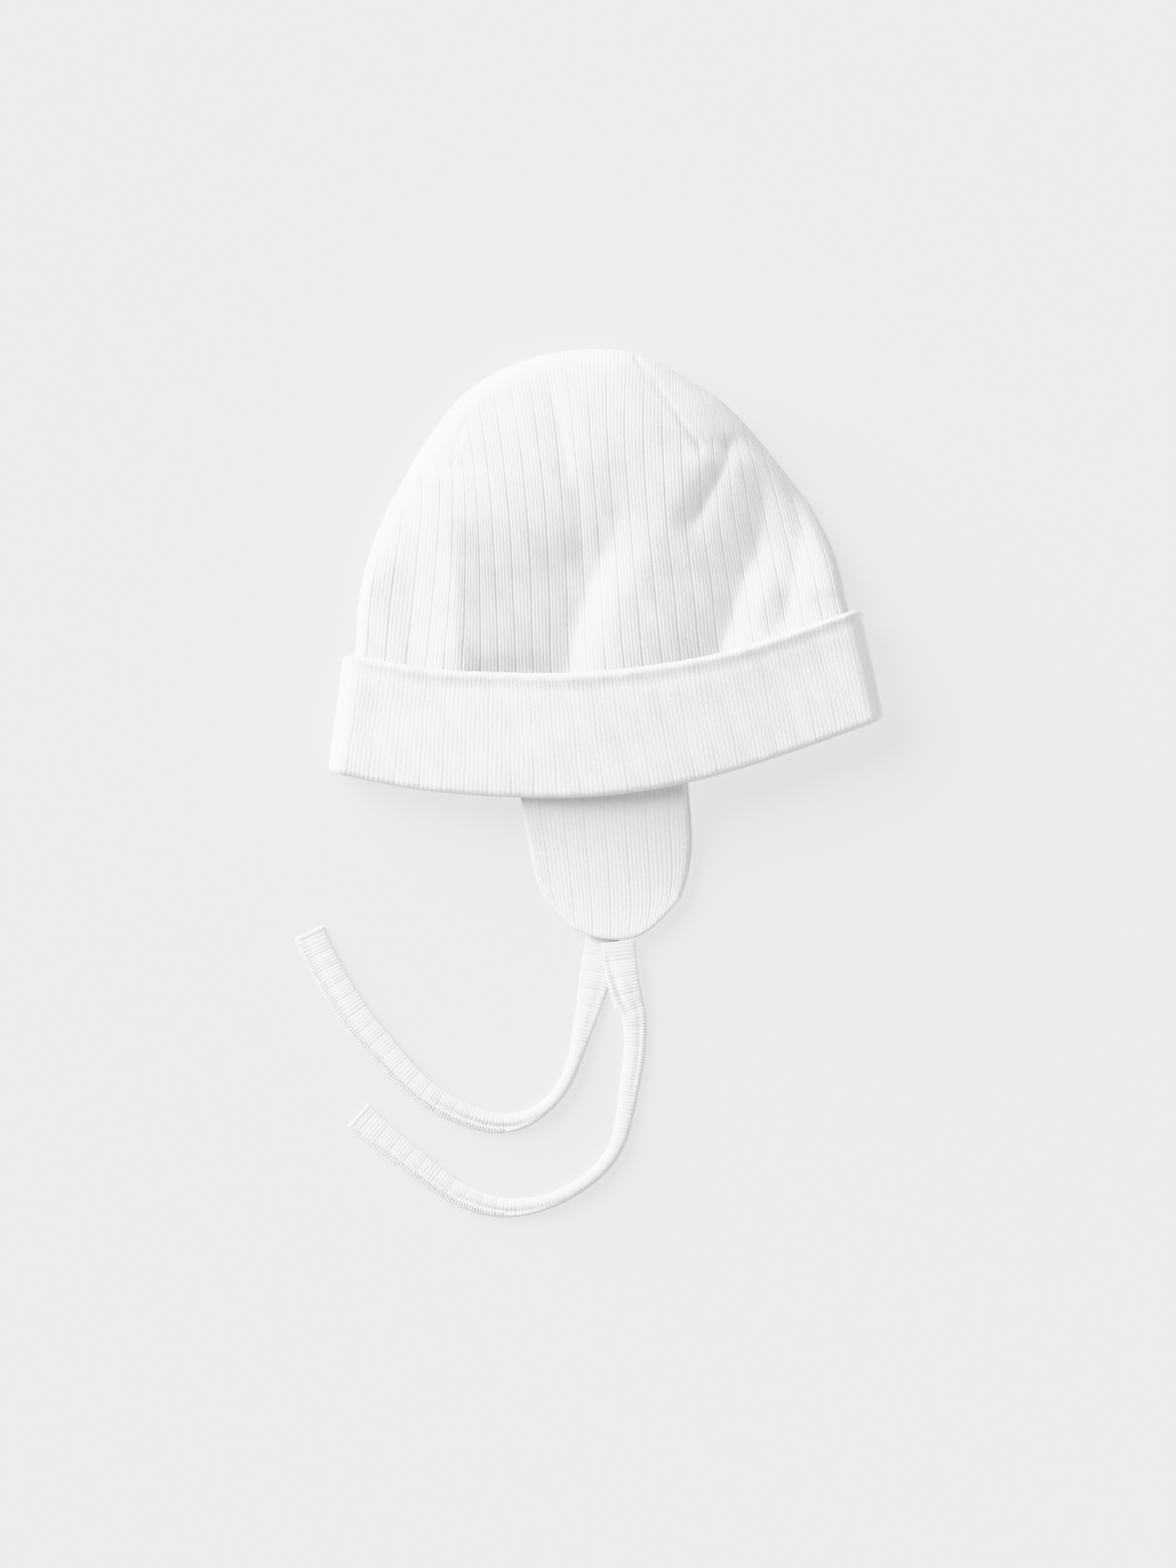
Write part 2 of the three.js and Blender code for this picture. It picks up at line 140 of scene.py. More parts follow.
# Sections between which the crown's hollows and ridges start, the cuff's folds end and the lower sheet
# comes down from the cuff to the table.
HOLLOWS_START = (0.5, 0.9)
RIDGES_START = (0.9, 1.3)
CUFF_FOLDS_END = (CUFF_TOP, CUFF_TOP + 0.3)
LOWER_SHEET_DOWN = (CUFF_TOP + 0.05, CUFF_TOP + 0.9)

# Folds and hollows of the upper sheet. Each runs down the cap along its path, or across it; left and
# right are its widths on either side (above and below it where it runs across), soft is how wide its
# line is rounded, rise is how far it lifts the cloth and fade is the length over which it starts.
FOLD_COLUMNS = ("left", "right", "soft", "rise", "fade")
CROWN_FOLDS = [
    {"name": "left crease", "size": (0.009, 0.0090, 0.0020, 0.0025, 0.006), "path": [(-0.068, 0.061),
     (-0.060, 0.047), (-0.0545, 0.039), (-0.052, 0.030), (-0.0514, 0.015), (-0.0514, -0.009)]},
    {"name": "left hollow", "size": (0.004, 0.005, 0.0020, -0.0006, 0.020), "path": [(-0.0655, 0.050),
     (-0.067, 0.020), (-0.0665, -0.005)]},
    {"name": "top hollow", "size": (0.008, 0.0025, 0.0008, -0.0011, 0.010), "path": [(-0.0210, 0.090),
     (-0.0165, 0.077), (-0.0135, 0.060)]},
    {"name": "centre valley", "size": (0.005, 0.003, 0.0010, -0.0010, 0.022), "path": [(-0.0115, 0.062),
     (-0.0100, 0.043), (-0.0085, 0.030)]},
    {"name": "centre hollow", "size": (0.026, 0.0150, 0.0022, -0.0070, 0.060), "path": [(0.0020, 0.072),
     (0.0036, 0.043), (-0.0035, 0.027), (-0.0075, 0.0155), (-0.0110, 0.0037), (-0.0140, -0.012)]},
    {"name": "centre ridge", "size": (0.005, 0.009, 0.0040, 0.0010, 0.010), "path": [(0.0050, 0.045),
     (0.0024, 0.0243), (-0.0013, 0.0125), (-0.0065, -0.009)]},
    {"name": "right crest", "size": (0.012, 0.009, 0.0035, 0.0014, 0.010), "path": [(0.0367, 0.0700),
     (0.0279, 0.0538), (0.0191, 0.0405), (0.0102, 0.0243), (0.0028, 0.0100)]},
    {"name": "right valley", "size": (0.0065, 0.0032, 0.0010, -0.0019, 0.008), "path": [(0.0432, 0.0735),
     (0.0400, 0.061), (0.0350, 0.051), (0.0300, 0.042)]},
    {"name": "right hollow", "size": (0.025, 0.0125, 0.0020, -0.0070, 0.065), "path": [(0.0490, 0.085),
     (0.0530, 0.058), (0.0525, 0.043), (0.0500, 0.030), (0.0455, 0.0205), (0.0420, 0.0096),
     (0.0392, -0.0008), (0.0360, -0.012)]},
    {"name": "right ridge", "size": (0.0045, 0.0060, 0.0025, 0.0005, 0.016), "path": [(0.0570, 0.036),
     (0.0550, 0.0200), (0.051, 0.0090), (0.0480, 0.0012)]},
    {"name": "edge valley", "size": (0.0070, 0.0050, 0.0020, -0.0021, 0.014), "path": [(0.0612, 0.062),
     (0.0657, 0.042), (0.0640, 0.024), (0.060, 0.008)]},
]
CUFF_FOLDS = [
    {"name": "corner hollow", "size": (0.0110, 0.022, 0.0080, -0.0013, 0.014), "path": [(-0.0920, -0.0260),
     (-0.0600, -0.0190), (-0.0340, -0.0130)]},
    {"name": "end hollow", "size": (0.014, 0.0140, 0.0060, -0.0004, 0.012), "path": [(0.0640, 0.0040),
     (0.0600, -0.0150), (0.0560, -0.0280)]},
]

# Gores at the top of the crown, where a dart is taken in and the ribs follow the outline instead. Each
# corner line is walked with the gore on its left, seam names its sewn stretch and depth is the seam's
# share of the full seam depth. Gore rib is the width of a rib in a gore, gore edge is how far in from
# its lines a gore starts and seam half is half a seam's width. Between the two heights of grooves fade
# the grooves outside the gores grow shallow, until grooves left of them is left.
GORES = [
    {"name": "right gore", "corners": [(0.0100, 0.0978), (0.0320, 0.0670), (0.0460, 0.0770)], "seam": 0,
     "depth": 1.0},
    {"name": "left gore", "corners": [(-0.0700, 0.0590), (-0.0530, 0.0605), (-0.0440, 0.0885)], "seam": 1,
     "depth": 0.35},
]
GORE_RIB = 0.00125
GORE_EDGE = (-0.0004, 0.0016)
SEAM_HALF = 0.0011
GROOVES_FADE = (0.070, 0.090)
GROOVES_LEFT = 0.35

# Sections of an ear flap from its root inside the mouth to its tip, with x and y at every second rib.
# Upper and lower are the heights of the middle of the cloth on the two flaps.
FLAP_SECTIONS = [
    {"name": "root", "x": [-0.0320, -0.0175, -0.0030, 0.0115, 0.0260],
     "y": [-0.0360, -0.0370, -0.0370, -0.0360, -0.0340], "upper": 0.0114, "lower": 0.0058},
    {"name": "cuff edge", "x": [-0.0294, -0.0153, -0.0012, 0.0129, 0.0270],
     "y": [-0.0515, -0.0525, -0.0525, -0.0510, -0.0480], "upper": 0.0108, "lower": 0.0056},
    {"name": "middle", "x": [-0.0265, -0.0130, 0.0007, 0.0145, 0.0284],
     "y": [-0.0680, -0.0720, -0.0740, -0.0720, -0.0660], "upper": 0.0062, "lower": 0.0024},
    {"name": "low", "x": [-0.0242, -0.0115, 0.0016, 0.0152, 0.0274],
     "y": [-0.0795, -0.0870, -0.0900, -0.0870, -0.0780], "upper": 0.0040, "lower": 0.00125},
    {"name": "tip", "x": [-0.0213, -0.0106, 0.0015, 0.0134, 0.0246],
     "y": [-0.0863, -0.0970, -0.1006, -0.0982, -0.0875], "upper": 0.0038, "lower": 0.00115},
]
LOWER_FLAP_SHIFT = (0.0009, 0.0012)

# Routes of the two ties on the table, from the flap's tip to the free end. Width is what shows from
# above: the tie is a folded strip of cloth that rolls up where it is narrow, so its thickness is the
# strip's section area over its width. Under is the height it lies at, and curl is how deep the
# hollow is between its middle and its overlocked edge. The hollow's middle and half width are shares
# of half the tie's width.
TIE_STEP = 0.0003
TIE_SIDES = 44
TIE_SECTION_AREA = 20.5e-6
TIE_SECTION_POWER = 0.85
TIE_FLOOR = 0.0001
TIE_HOLLOW_MIDDLE = 0.40
TIE_HOLLOW_HALF = 0.26

# The ribs of a tie run across it: how far apart they are, how they stray and vary in depth along it,
# the share of their relief that its sides take, and the share of painted shade in their grooves that
# its finish takes.
TIE_RIB_PITCH = 0.0060
TIE_RIB_STRAY = 0.12
TIE_STRAY_LENGTHS = (0.009, 0.023)
TIE_DEPTH_MEAN = 0.8
TIE_DEPTH_CHANGE = 0.4
TIE_DEPTH_LENGTHS = (0.004, 0.013)
TIE_SINGLE_RIB = 0.00010
TIE_GROOVE_HALF = 0.05
TIE_SIDE_RELIEF = 0.3
TIE_PAINTED_GROOVE_SHADE = 0.4

# The free end of a tie: its hem's place, height and half width, the length over which its ribs start
# again, and its rounded end, which keeps a share of its height and width.
TIE_HEM = 0.0017
TIE_HEM_HEIGHT = 0.00026
TIE_HEM_HALF = 0.0003
TIE_HEM_FADE = 0.001
TIE_END_ROUND = 0.0010
TIE_END_HEIGHT = 0.12
TIE_END_WIDTH = 0.93
TIE_COLUMNS = ("x", "y", "width", "under", "curl")
UPPER_TIE_ROUTE = [
    (0.0039, -0.1012, 0.0118, 0.0029, 0.0000),
    (0.0045, -0.1066, 0.0114, 0.0025, 0.0000),
    (0.0056, -0.1140, 0.0110, 0.0024, 0.0000),
    (0.0071, -0.1207, 0.0104, 0.0018, 0.0002),
    (0.0092, -0.1263, 0.0086, 0.0008, 0.0003),
    (0.0098, -0.1341, 0.0076, TIE_FLOOR, 0.0003),
    (0.0092, -0.1425, 0.0072, TIE_FLOOR, 0.0003),
    (0.0078, -0.1509, 0.0069, TIE_FLOOR, 0.0002),
    (0.0064, -0.1599, 0.0062, TIE_FLOOR, 0.0000),
    (0.0039, -0.1700, 0.0054, TIE_FLOOR, 0.0000),
    (-0.0014, -0.1784, 0.0049, TIE_FLOOR, 0.0000),
    (-0.0101, -0.1854, 0.0049, TIE_FLOOR, 0.0000),
    (-0.0204, -0.1904, 0.0052, TIE_FLOOR, 0.0002),
    (-0.0308, -0.1924, 0.0063, TIE_FLOOR, 0.0006),
    (-0.0406, -0.1915, 0.0071, TIE_FLOOR, 0.0012),
    (-0.0512, -0.1873, 0.0081, TIE_FLOOR, 0.0016),
    (-0.0610, -0.1806, 0.0087, TIE_FLOOR, 0.0014),
    (-0.0708, -0.1730, 0.0093, TIE_FLOOR, 0.0010),
    (-0.0787, -0.1666, 0.0100, TIE_FLOOR, 0.0005),
    (-0.0854, -0.1607, 0.0106, TIE_FLOOR, 0.0003),
]
LOWER_TIE_ROUTE = [
    (-0.0011, -0.0998, 0.0118, 0.0002, 0.0000),
    (-0.0025, -0.1075, 0.0116, TIE_FLOOR, 0.0000),
    (-0.0042, -0.1154, 0.0106, TIE_FLOOR, 0.0002),
    (-0.0059, -0.1229, 0.0088, TIE_FLOOR, 0.0002),
    (-0.0078, -0.1302, 0.0072, TIE_FLOOR, 0.0002),
    (-0.0099, -0.1383, 0.0056, TIE_FLOOR, 0.0000),
    (-0.0126, -0.1464, 0.0048, TIE_FLOOR, 0.0000),
    (-0.0165, -0.1532, 0.0047, TIE_FLOOR, 0.0000),
    (-0.0224, -0.1590, 0.0049, TIE_FLOOR, 0.0000),
    (-0.0297, -0.1627, 0.0059, TIE_FLOOR, 0.0004),
    (-0.0378, -0.1635, 0.0068, TIE_FLOOR, 0.0014),
    (-0.0462, -0.1614, 0.0076, TIE_FLOOR, 0.0018),
    (-0.0546, -0.1576, 0.0084, TIE_FLOOR, 0.0018),
    (-0.0624, -0.1526, 0.0088, TIE_FLOOR, 0.0016),
    (-0.0703, -0.1453, 0.0096, TIE_FLOOR, 0.0012),
    (-0.0781, -0.1364, 0.0104, TIE_FLOOR, 0.0009),
    (-0.0854, -0.1277, 0.0106, TIE_FLOOR, 0.0006),
    (-0.0927, -0.1165, 0.0108, TIE_FLOOR, 0.0005),
    (-0.0980, -0.1067, 0.0109, TIE_FLOOR, 0.0004),
    (-0.1021, -0.0979, 0.0109, TIE_FLOOR, 0.0003),
]

# The two ties. Stretches are where the edge is overlocked, in metres along the tie. A crease starts and
# ends at two places along it, moves across it between two shares of half its width and has a half width
# and a depth. Crease start and end are how its depth comes and goes about those two places.
TIES = (
    {"name": "upper_tie", "node": "tie_upper", "route": UPPER_TIE_ROUTE,
     "stretches": ((0.028, 0.052), (0.118, 0.176)),
     "creases": [{"along": (0.004, 0.026), "across": (-0.75, -0.25), "width": 0.22, "depth": 0.0008}]},
    {"name": "lower_tie", "node": "tie_lower", "route": LOWER_TIE_ROUTE,
     "stretches": ((0.078, 0.174),),
     "creases": []},
)
CREASE_START = (-0.003, 0.003)
CREASE_END = (-0.006, 0.002)

# The overlock on a tie's edge: how far apart its turns are, how far out of the edge they pass and how
# far in they reach, the share of the thread that sinks into the cloth, how steeply the thread goes
# over the edge, the points of each turn and round the thread, and its knit pattern to the metre.
OVERLOCK_PITCH = 0.00092
OVERLOCK_OUTSIDE = -0.00010
OVERLOCK_REACH = 0.00080
OVERLOCK_SUNK = 0.42
OVERLOCK_STEEP = 2.5
OVERLOCK_TURN_POINTS = 14
THREAD_SIDES = 6
THREAD_KNIT = 900

# The finish: how steep the chevrons of the stitches are, the share of a rib's height that its stitches
# take, how much painted shade darkens the colour between the stitches, and how much the tone follows
# the blotches, above a base.
CHEVRON_SLOPE = 1.4
STITCH_SHARE = 0.45
PAINTED_STITCH_SHADE = 0.03
BLOTCH_TONE = 0.045
BASE_TONE = 0.9575

# The picture: the middle of what the camera sees on the table and its long side. The shoulder says how
# bright each amount of light is shown, up to the brightest.
PICTURE_MIDDLE = (-0.0064, -0.0473)
PICTURE_LONG_SIDE = 0.5376
SHOULDER = ((0.0, 0.0), (0.4, 0.4), (0.75, 0.75), (0.9, 0.855), (1.0, 0.895), (1.2, 0.93), (1.6, 0.96))

# Soft lights: where each stands as seen from the cap, its strength and how wide it is, in radians. The
# studio's glow comes from all round.
STUDIO_GLOW = 0.37
LIGHTS = (
    ("main light", (-0.72, 0.48, 0.42), 4.50, 0.9),
    ("fill light", (0.85, -0.35, 0.28), 0.9, 1.2),
)


def smoothstep(value, low, high):
    """0 below low, 1 above high, and the cubic 3t^2 - 2t^3 between them."""
    share = np.clip((value - low) / (high - low), 0, 1)
    return share * share * (3 - 2 * share)


def bell(value, middle, half):
    """The bell exp(-((value - middle) / half)^2)."""
    return np.exp(-(((value - middle) / half) ** 2))


def rounding(share):
    """A quarter of a superellipse: 0 at the outline, 1 where the sheet levels out."""
    return (1 - (1 - np.clip(share, 0, 1)) ** EDGE_POWER) ** (1 / EDGE_POWER)


def unit(vectors):
    """Each vector over its own length."""
    length = np.linalg.norm(vectors, axis=-1, keepdims=True)
    return vectors / np.maximum(length, 1e-12)


def spline_weights(count, places):
    """Weights of a Catmull-Rom curve through count points, a row for each place from 0 to count - 1.

    Between points i and i + 1 the curve blends the points i - 1 to i + 2 by four cubics of the part t
    of the way, and repeats the end points beyond the ends.
    """
    places = np.asarray(places, float)
    first = np.clip(np.floor(places).astype(int), 0, count - 2)
    t = places - first
    cubics = (
        -0.5 * t**3 + t**2 - 0.5 * t,
        1.5 * t**3 - 2.5 * t**2 + 1,
        -1.5 * t**3 + 2 * t**2 + 0.5 * t,
        0.5 * t**3 - 0.5 * t**2,
    )
    weights = np.zeros((places.size, count))
    rows = np.arange(places.size)
    for offset, cubic in zip((-1, 0, 1, 2), cubics):
        np.add.at(weights, (rows, np.clip(first + offset, 0, count - 1)), cubic)
    return weights


def through(values, places):
    """Values at places along the smooth curve through a column of a table."""
    return spline_weights(len(values), places) @ np.asarray(values, float)


def sheet_plan(sections, last_rib, ribs, courses):
    """A sheet's x and y on the grid of courses by ribs: Catmull-Rom curves along both, C S R^T."""
    stations = len(sections[0]["x"])
    along = spline_weights(len(sections), courses)
    across = spline_weights(stations, np.asarray(ribs) / last_rib * (stations - 1))
    return tuple(along @ np.array([row[axis] for row in sections]) @ across.T for axis in ("x", "y"))


def sheet_outline(sections, last_rib, steps=120):
    """The free outline of a sheet: up its first rib, along its last section and down its last rib."""
    last = len(sections) - 1
    courses = np.linspace(0, last, steps + 1)
    ribs = np.linspace(0, last_rib, steps + 1)
    up = np.column_stack([axis[:, 0] for axis in sheet_plan(sections, last_rib, [0], courses)])
    top = np.column_stack([axis[0] for axis in sheet_plan(sections, last_rib, ribs, [last])])
    back = courses[::-1]
    down = np.column_stack([axis[:, 0] for axis in sheet_plan(sections, last_rib, [last_rib], back)])
    return np.concatenate([up, top[1:], down[1:]])


def nearest(line, x, y):
    """How far each place is from a line of points, and the unit vector to the left of the line there."""
    distance = np.full(x.shape, np.inf)
    left = np.zeros((*x.shape, 2))
    for (x0, y0), (x1, y1) in zip(line[:-1], line[1:]):
        ax = x1 - x0
        ay = y1 - y0
        length = np.hypot(ax, ay)
        share = np.clip(((x - x0) * ax + (y - y0) * ay) / length**2, 0, 1)
        away = np.hypot(x - x0 - share * ax, y - y0 - share * ay)
        closer = away < distance
        distance = np.where(closer, away, distance)
        left[closer] = (-ay / length, ax / length)
    return distance, left


def fold_lift(folds, x, y):
    """How far folds lift a sheet: the sum of rise exp(-(hypot(distance, soft) - soft) / width).

    A path that runs down is x as a smooth function of y, and the distance is the offset in x over
    sqrt(1 + slope^2), or that and the way past its ends. The width passes smoothly from the left
    value to the right one round the ends. A path that runs across swaps x and y, so that its first
    width is the one above it.
    """
    lift = np.zeros(x.shape)
    steps = 60
    for fold in folds:
        size = dict(zip(FOLD_COLUMNS, fold["size"]))
        path = through(fold["path"], np.linspace(0, len(fold["path"]) - 1, steps + 1))
        runs_down = abs(path[0, 1] - path[-1, 1]) > abs(path[0, 0] - path[-1, 0])
        beside, along = (path[:, 0], -path[:, 1]) if runs_down else (-path[:, 1], path[:, 0])
        here_beside, here_along = (x, -y) if runs_down else (-y, x)
        lean = np.interp(here_along, along, np.gradient(beside, along))
        offset = (here_beside - np.interp(here_along, along, beside)) / np.sqrt(1 + lean**2)
        before = along[0] - here_along
        past = np.maximum(before, 0) + np.maximum(here_along - along[-1], 0)
        distance = np.hypot(offset, past)
        left_share = 0.5 - 0.5 * offset / np.maximum(distance, 1e-9)
        width = size["right"] + (size["left"] - size["right"]) * left_share
        rise = size["rise"] * smoothstep(-before, 0, size["fade"])
        lift += rise * np.exp(-(np.hypot(distance, size["soft"]) - size["soft"]) / width)
    return lift


def uneven(across, along, seed):
    """A soft unevenness between -1 and 1: three crossed sine waves of unlike lengths."""
    return (
        np.sin(across * 1.7 + along * 0.9 + seed)
        + np.sin(across * 0.63 - along * 1.9 + 2.1 * seed)
        + np.sin(across * 3.1 + along * 2.3 + 0.7 * seed)
    ) / 3


def rib_relief(ribs, groove_depth, bow, single_depth, groove_half=GROOVE_HALF):
    """Depth of the knitted surface below its highest line, and how much of it is groove, 0 to 1.

    A bell of the distance a to the nearest whole rib is the groove, bow (1 - 2a)^2 is the bulge
    between two grooves, and a cosine wave gives the single ribs.
    """
    away = np.abs(ribs - np.round(ribs))
    groove = bell(away, 0, groove_half)
    wave = 0.5 + 0.5 * np.cos(2 * np.pi * SINGLE_RIBS * ribs)
    return groove_depth * groove + bow * (1 - 2 * away) ** 2 + single_depth * wave, groove


def wandering(ribs, y):
    """Rib numbers on a grid, where each rib strays a little from its line as it runs up the cap."""
    across = np.broadcast_to(ribs, y.shape)
    return across + RIB_STRAY * uneven(across * STRAY_PER_RIB, y / STRAY_LENGTH, seed=1.3)


def gore_share(x, y):
    """How much of each place is gore: the product of smooth steps over the distances to its lines."""
    most = np.zeros(x.shape)
    for gore in GORES:
        inside = np.ones(x.shape)
        for (x0, y0), (x1, y1) in zip(gore["corners"][:-1], gore["corners"][1:]):
            length = np.hypot(x1 - x0, y1 - y0)
            depth = ((y - y0) * (x1 - x0) - (x - x0) * (y1 - y0)) / length
            inside = inside * smoothstep(depth, *GORE_EDGE)
        most = np.maximum(most, inside)
    return most


def seam_line(gore):
    """The two ends of a gore's sewn stretch."""
    return gore["corners"][gore["seam"]:gore["seam"] + 2]


def crown_relief(ribs, points, distance, sizes):
    """The crown's relief and grooves on a grid: ribs up the cap, and fine ribs along the outline in the
    gores, which meet the rest in a shallow valley along their seams."""
    x = points[..., 0]
    y = points[..., 1]
    kept = 1 - (1 - GROOVES_LEFT) * smoothstep(y, *GROOVES_FADE)
    strayed = wandering(ribs, y)
    relief, groove = rib_relief(strayed, sizes.groove_depth * kept, sizes.rib_bow * kept, sizes.single_rib)
    gore = gore_share(x, y)
    wave = 0.5 + 0.5 * np.cos(2 * np.pi * distance / GORE_RIB)
    relief = relief * (1 - gore) + sizes.single_rib * wave * gore
    for each in GORES:
        away = nearest(seam_line(each), x, y)[0]
        relief = relief + each["depth"] * sizes.seam_depth * bell(away, 0, SEAM_HALF)
    return relief, groove * kept * (1 - gore)


def crown_faces(ribs, courses, under_cuff=True):
    """The smooth outer face of the crown's two sheets on a grid, with its outward directions and how far
    each place is from the outline.

    A sheet's height is fold + (level - fold) R(distance / round), where R is a quarter of a
    superellipse of the distance from the outline. The upper level is an arch from side fold to side
    fold plus the folds, and the lower one is the cuff's thickness near the mouth and the table beyond
    it. Beside the outline the outward direction is square to the superellipse, and further in it is
    square to the grid. The crown's own folds are left out for the cuff, which lies over them.
    """
    x, y = sheet_plan(CROWN_SECTIONS, CROWN_RIBS, ribs, courses)
    distance, left = nearest(sheet_outline(CROWN_SECTIONS, CROWN_RIBS), x, y)
    distance[:, ribs == 0] = 0
    distance[:, ribs == CROWN_RIBS] = 0
    distance[courses == TOP_FOLD, :] = 0
    column = {
        name: through([row[name] for row in CROWN_SECTIONS], courses)[:, None]
        for name in ("crest", "left", "right", "fold", "round")
    }
    arch = np.clip(1 - (ribs / CROWN_RIBS * 2 - 1) ** 2, 0, 1) ** ARCH_POWER
    lift = fold_lift(CUFF_FOLDS, x, y) * (1 - smoothstep(courses, *CUFF_FOLDS_END))[:, None]
    if under_cuff:
        folds = fold_lift(CROWN_FOLDS, x, y)
        hollows = smoothstep(courses, *HOLLOWS_START)[:, None]
        ridges = smoothstep(courses, *RIDGES_START)[:, None]
        lift += np.where(folds < 0, hollows, ridges) * folds
    lift += UNEVEN_HEIGHT * uneven(x / UNEVEN_LENGTHS[0], y / UNEVEN_LENGTHS[1], seed=0.4)
    side = column["left"] + (column["right"] - column["left"]) * ribs / CROWN_RIBS
    bulge = column["crest"] - (column["left"] + column["right"]) / 2
    upper_level = side + bulge * arch + lift
    lower_level = CUFF_OUT * (1 - smoothstep(courses, *LOWER_SHEET_DOWN))[:, None]
    sheets = {}
    for upper, level, reach in (
        (True, upper_level, column["round"]),
        (False, lower_level + 0 * x, column["fold"] - lower_level),
    ):
        share = np.clip(distance / reach, 0, 1)
        height = column["fold"] + (level - column["fold"]) * rounding(share)
        points = np.stack([x, y, height], -1)
        rise = np.abs(level - column["fold"])
        level_part = left * ((1 - share) ** (EDGE_POWER - 1) * rise)[..., None]
        up_part = rounding(share) ** (EDGE_POWER - 1) * reach * (1 if upper else -1)
        edge = unit(np.concatenate([level_part, up_part[..., None]], -1))
        inside = smoothstep(share, 0.5, 1.0)[..., None]
        flat = unit(np.cross(np.gradient(points, axis=1), np.gradient(points, axis=0)))
        flat = flat if upper else -flat
        sheets[upper] = (points, unit(edge * (1 - inside) + flat * inside), distance)
    return sheets


def sheet_numbers(rows, columns, start):
    """Numbers of the points of a grid, from start."""
    return np.arange(rows * columns).reshape(rows, columns) + start


def grid_quads(numbers):
    """The four corners of each cell of a grid of point numbers."""
    corners = (numbers[:-1, :-1], numbers[:-1, 1:], numbers[1:, 1:], numbers[1:, :-1])
    return np.stack(corners, -1).reshape(-1, 4)


def closed_round(numbers):
    """A grid of point numbers with its first column again after the last."""
    return np.concatenate([numbers, numbers[:, :1]], 1)


def sheet_faces(numbers, flip=False):
    """Faces of a grid of point numbers: quads, but two triangles in each of the last row's corner cells.

    Those triangles meet at the corner itself, so that two sheets joined round their outline don't
    share a diagonal there.
    """
    quads = grid_quads(numbers)
    first = len(quads) - (numbers.shape[1] - 1)
    left = quads[first]
    right = quads[-1]
    corners = np.array([left[[0, 1, 3]], left[[1, 2, 3]], right[[0, 1, 2]], right[[0, 2, 3]]])
    rest = np.delete(quads, [first, len(quads) - 1], axis=0)
    return [rest[:, ::-1], corners[:, ::-1]] if flip else [rest, corners]


def fan_triangles(fine, coarse):
    """Triangles between a line of points and a coarser line beside it that passes every few of them."""
    ratio = (len(fine) - 1) // (len(coarse) - 1)
    step = np.arange(len(fine) - 1)
    near = coarse[(step % ratio >= ratio / 2) + step // ratio]
    tips = np.stack([fine[:-1], fine[1:], near], -1)
    middle = np.arange(len(coarse) - 1)
    bases = np.stack([fine[middle * ratio + (ratio + 1) // 2], coarse[middle + 1], coarse[middle]], -1)
    return np.concatenate([tips, bases])


def new_piece(name, points, faces, groove, knit, material):
    """Puts a surface into a new mesh object, without the points that no face has.

    Points are rows of x, y, z and faces are arrays of corner numbers. Groove is how much of each
    point is groove, which sets the painted shade there, and knit is its place in the cloth, in single
    ribs and in stitches.
    """
    points = np.asarray(points, np.float32).reshape(-1, 3)
    groove = np.asarray(groove, np.float32).ravel()
    knit = np.asarray(knit, np.float32).reshape(-1, 2)
    corners = np.concatenate([block.ravel() for block in faces])
    sizes = np.concatenate([np.full(len(block), block.shape[1]) for block in faces])
    used = np.zeros(len(points), bool)
    used[corners] = True
    corners = (np.cumsum(used) - 1)[corners].astype(np.int32)
    mesh = bpy.data.meshes.new(name)
    mesh.vertices.add(int(used.sum()))
    mesh.vertices.foreach_set("co", points[used].ravel())
    mesh.loops.add(len(corners))
    mesh.loops.foreach_set("vertex_index", corners)
    mesh.polygons.add(len(sizes))
    mesh.polygons.foreach_set("loop_start", (np.cumsum(sizes) - sizes).astype(np.int32))
    mesh.polygons.foreach_set("use_smooth", np.ones(len(sizes), bool))
    mesh.update(calc_edges=True)
    attribute = mesh.attributes.new(PAINTED_GROOVE_SHADE_FIELD, "FLOAT", "POINT")
    attribute.data.foreach_set("value", groove[used])
    layer = mesh.uv_layers.new(name=KNIT_MAP)
    layer.data.foreach_set("uv", knit[used][corners].ravel())
    mesh.materials.append(material)
    piece = bpy.data.objects.new(name, mesh)
    bpy.context.scene.collection.objects.link(piece)
    return piece


def dress(piece, slot, *nodes):
    """A finished piece rides on the cap and hides the CAD nodes it stands for. Its slot is not used."""
    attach(piece, "root")
    if nodes:
        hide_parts(*nodes)


def join(tree, source, target):
    """Links an output socket to an input socket."""
    tree.links.new(source, target)


def add_node(tree, kind, **settings):
    """A node of a kind with its properties set."""
    node = tree.nodes.new(kind)
    for name, value in settings.items():
        setattr(node, name, value)
    return node


def math_node(tree, operation, *values):
    """A Math node whose inputs are numbers or output sockets. Returns its output."""
    node = add_node(tree, "ShaderNodeMath", operation=operation)
    for socket, value in zip(node.inputs, values):
        if isinstance(value, bpy.types.NodeSocket):
            join(tree, value, socket)
        else:
            socket.default_value = value
    return node.outputs[0]


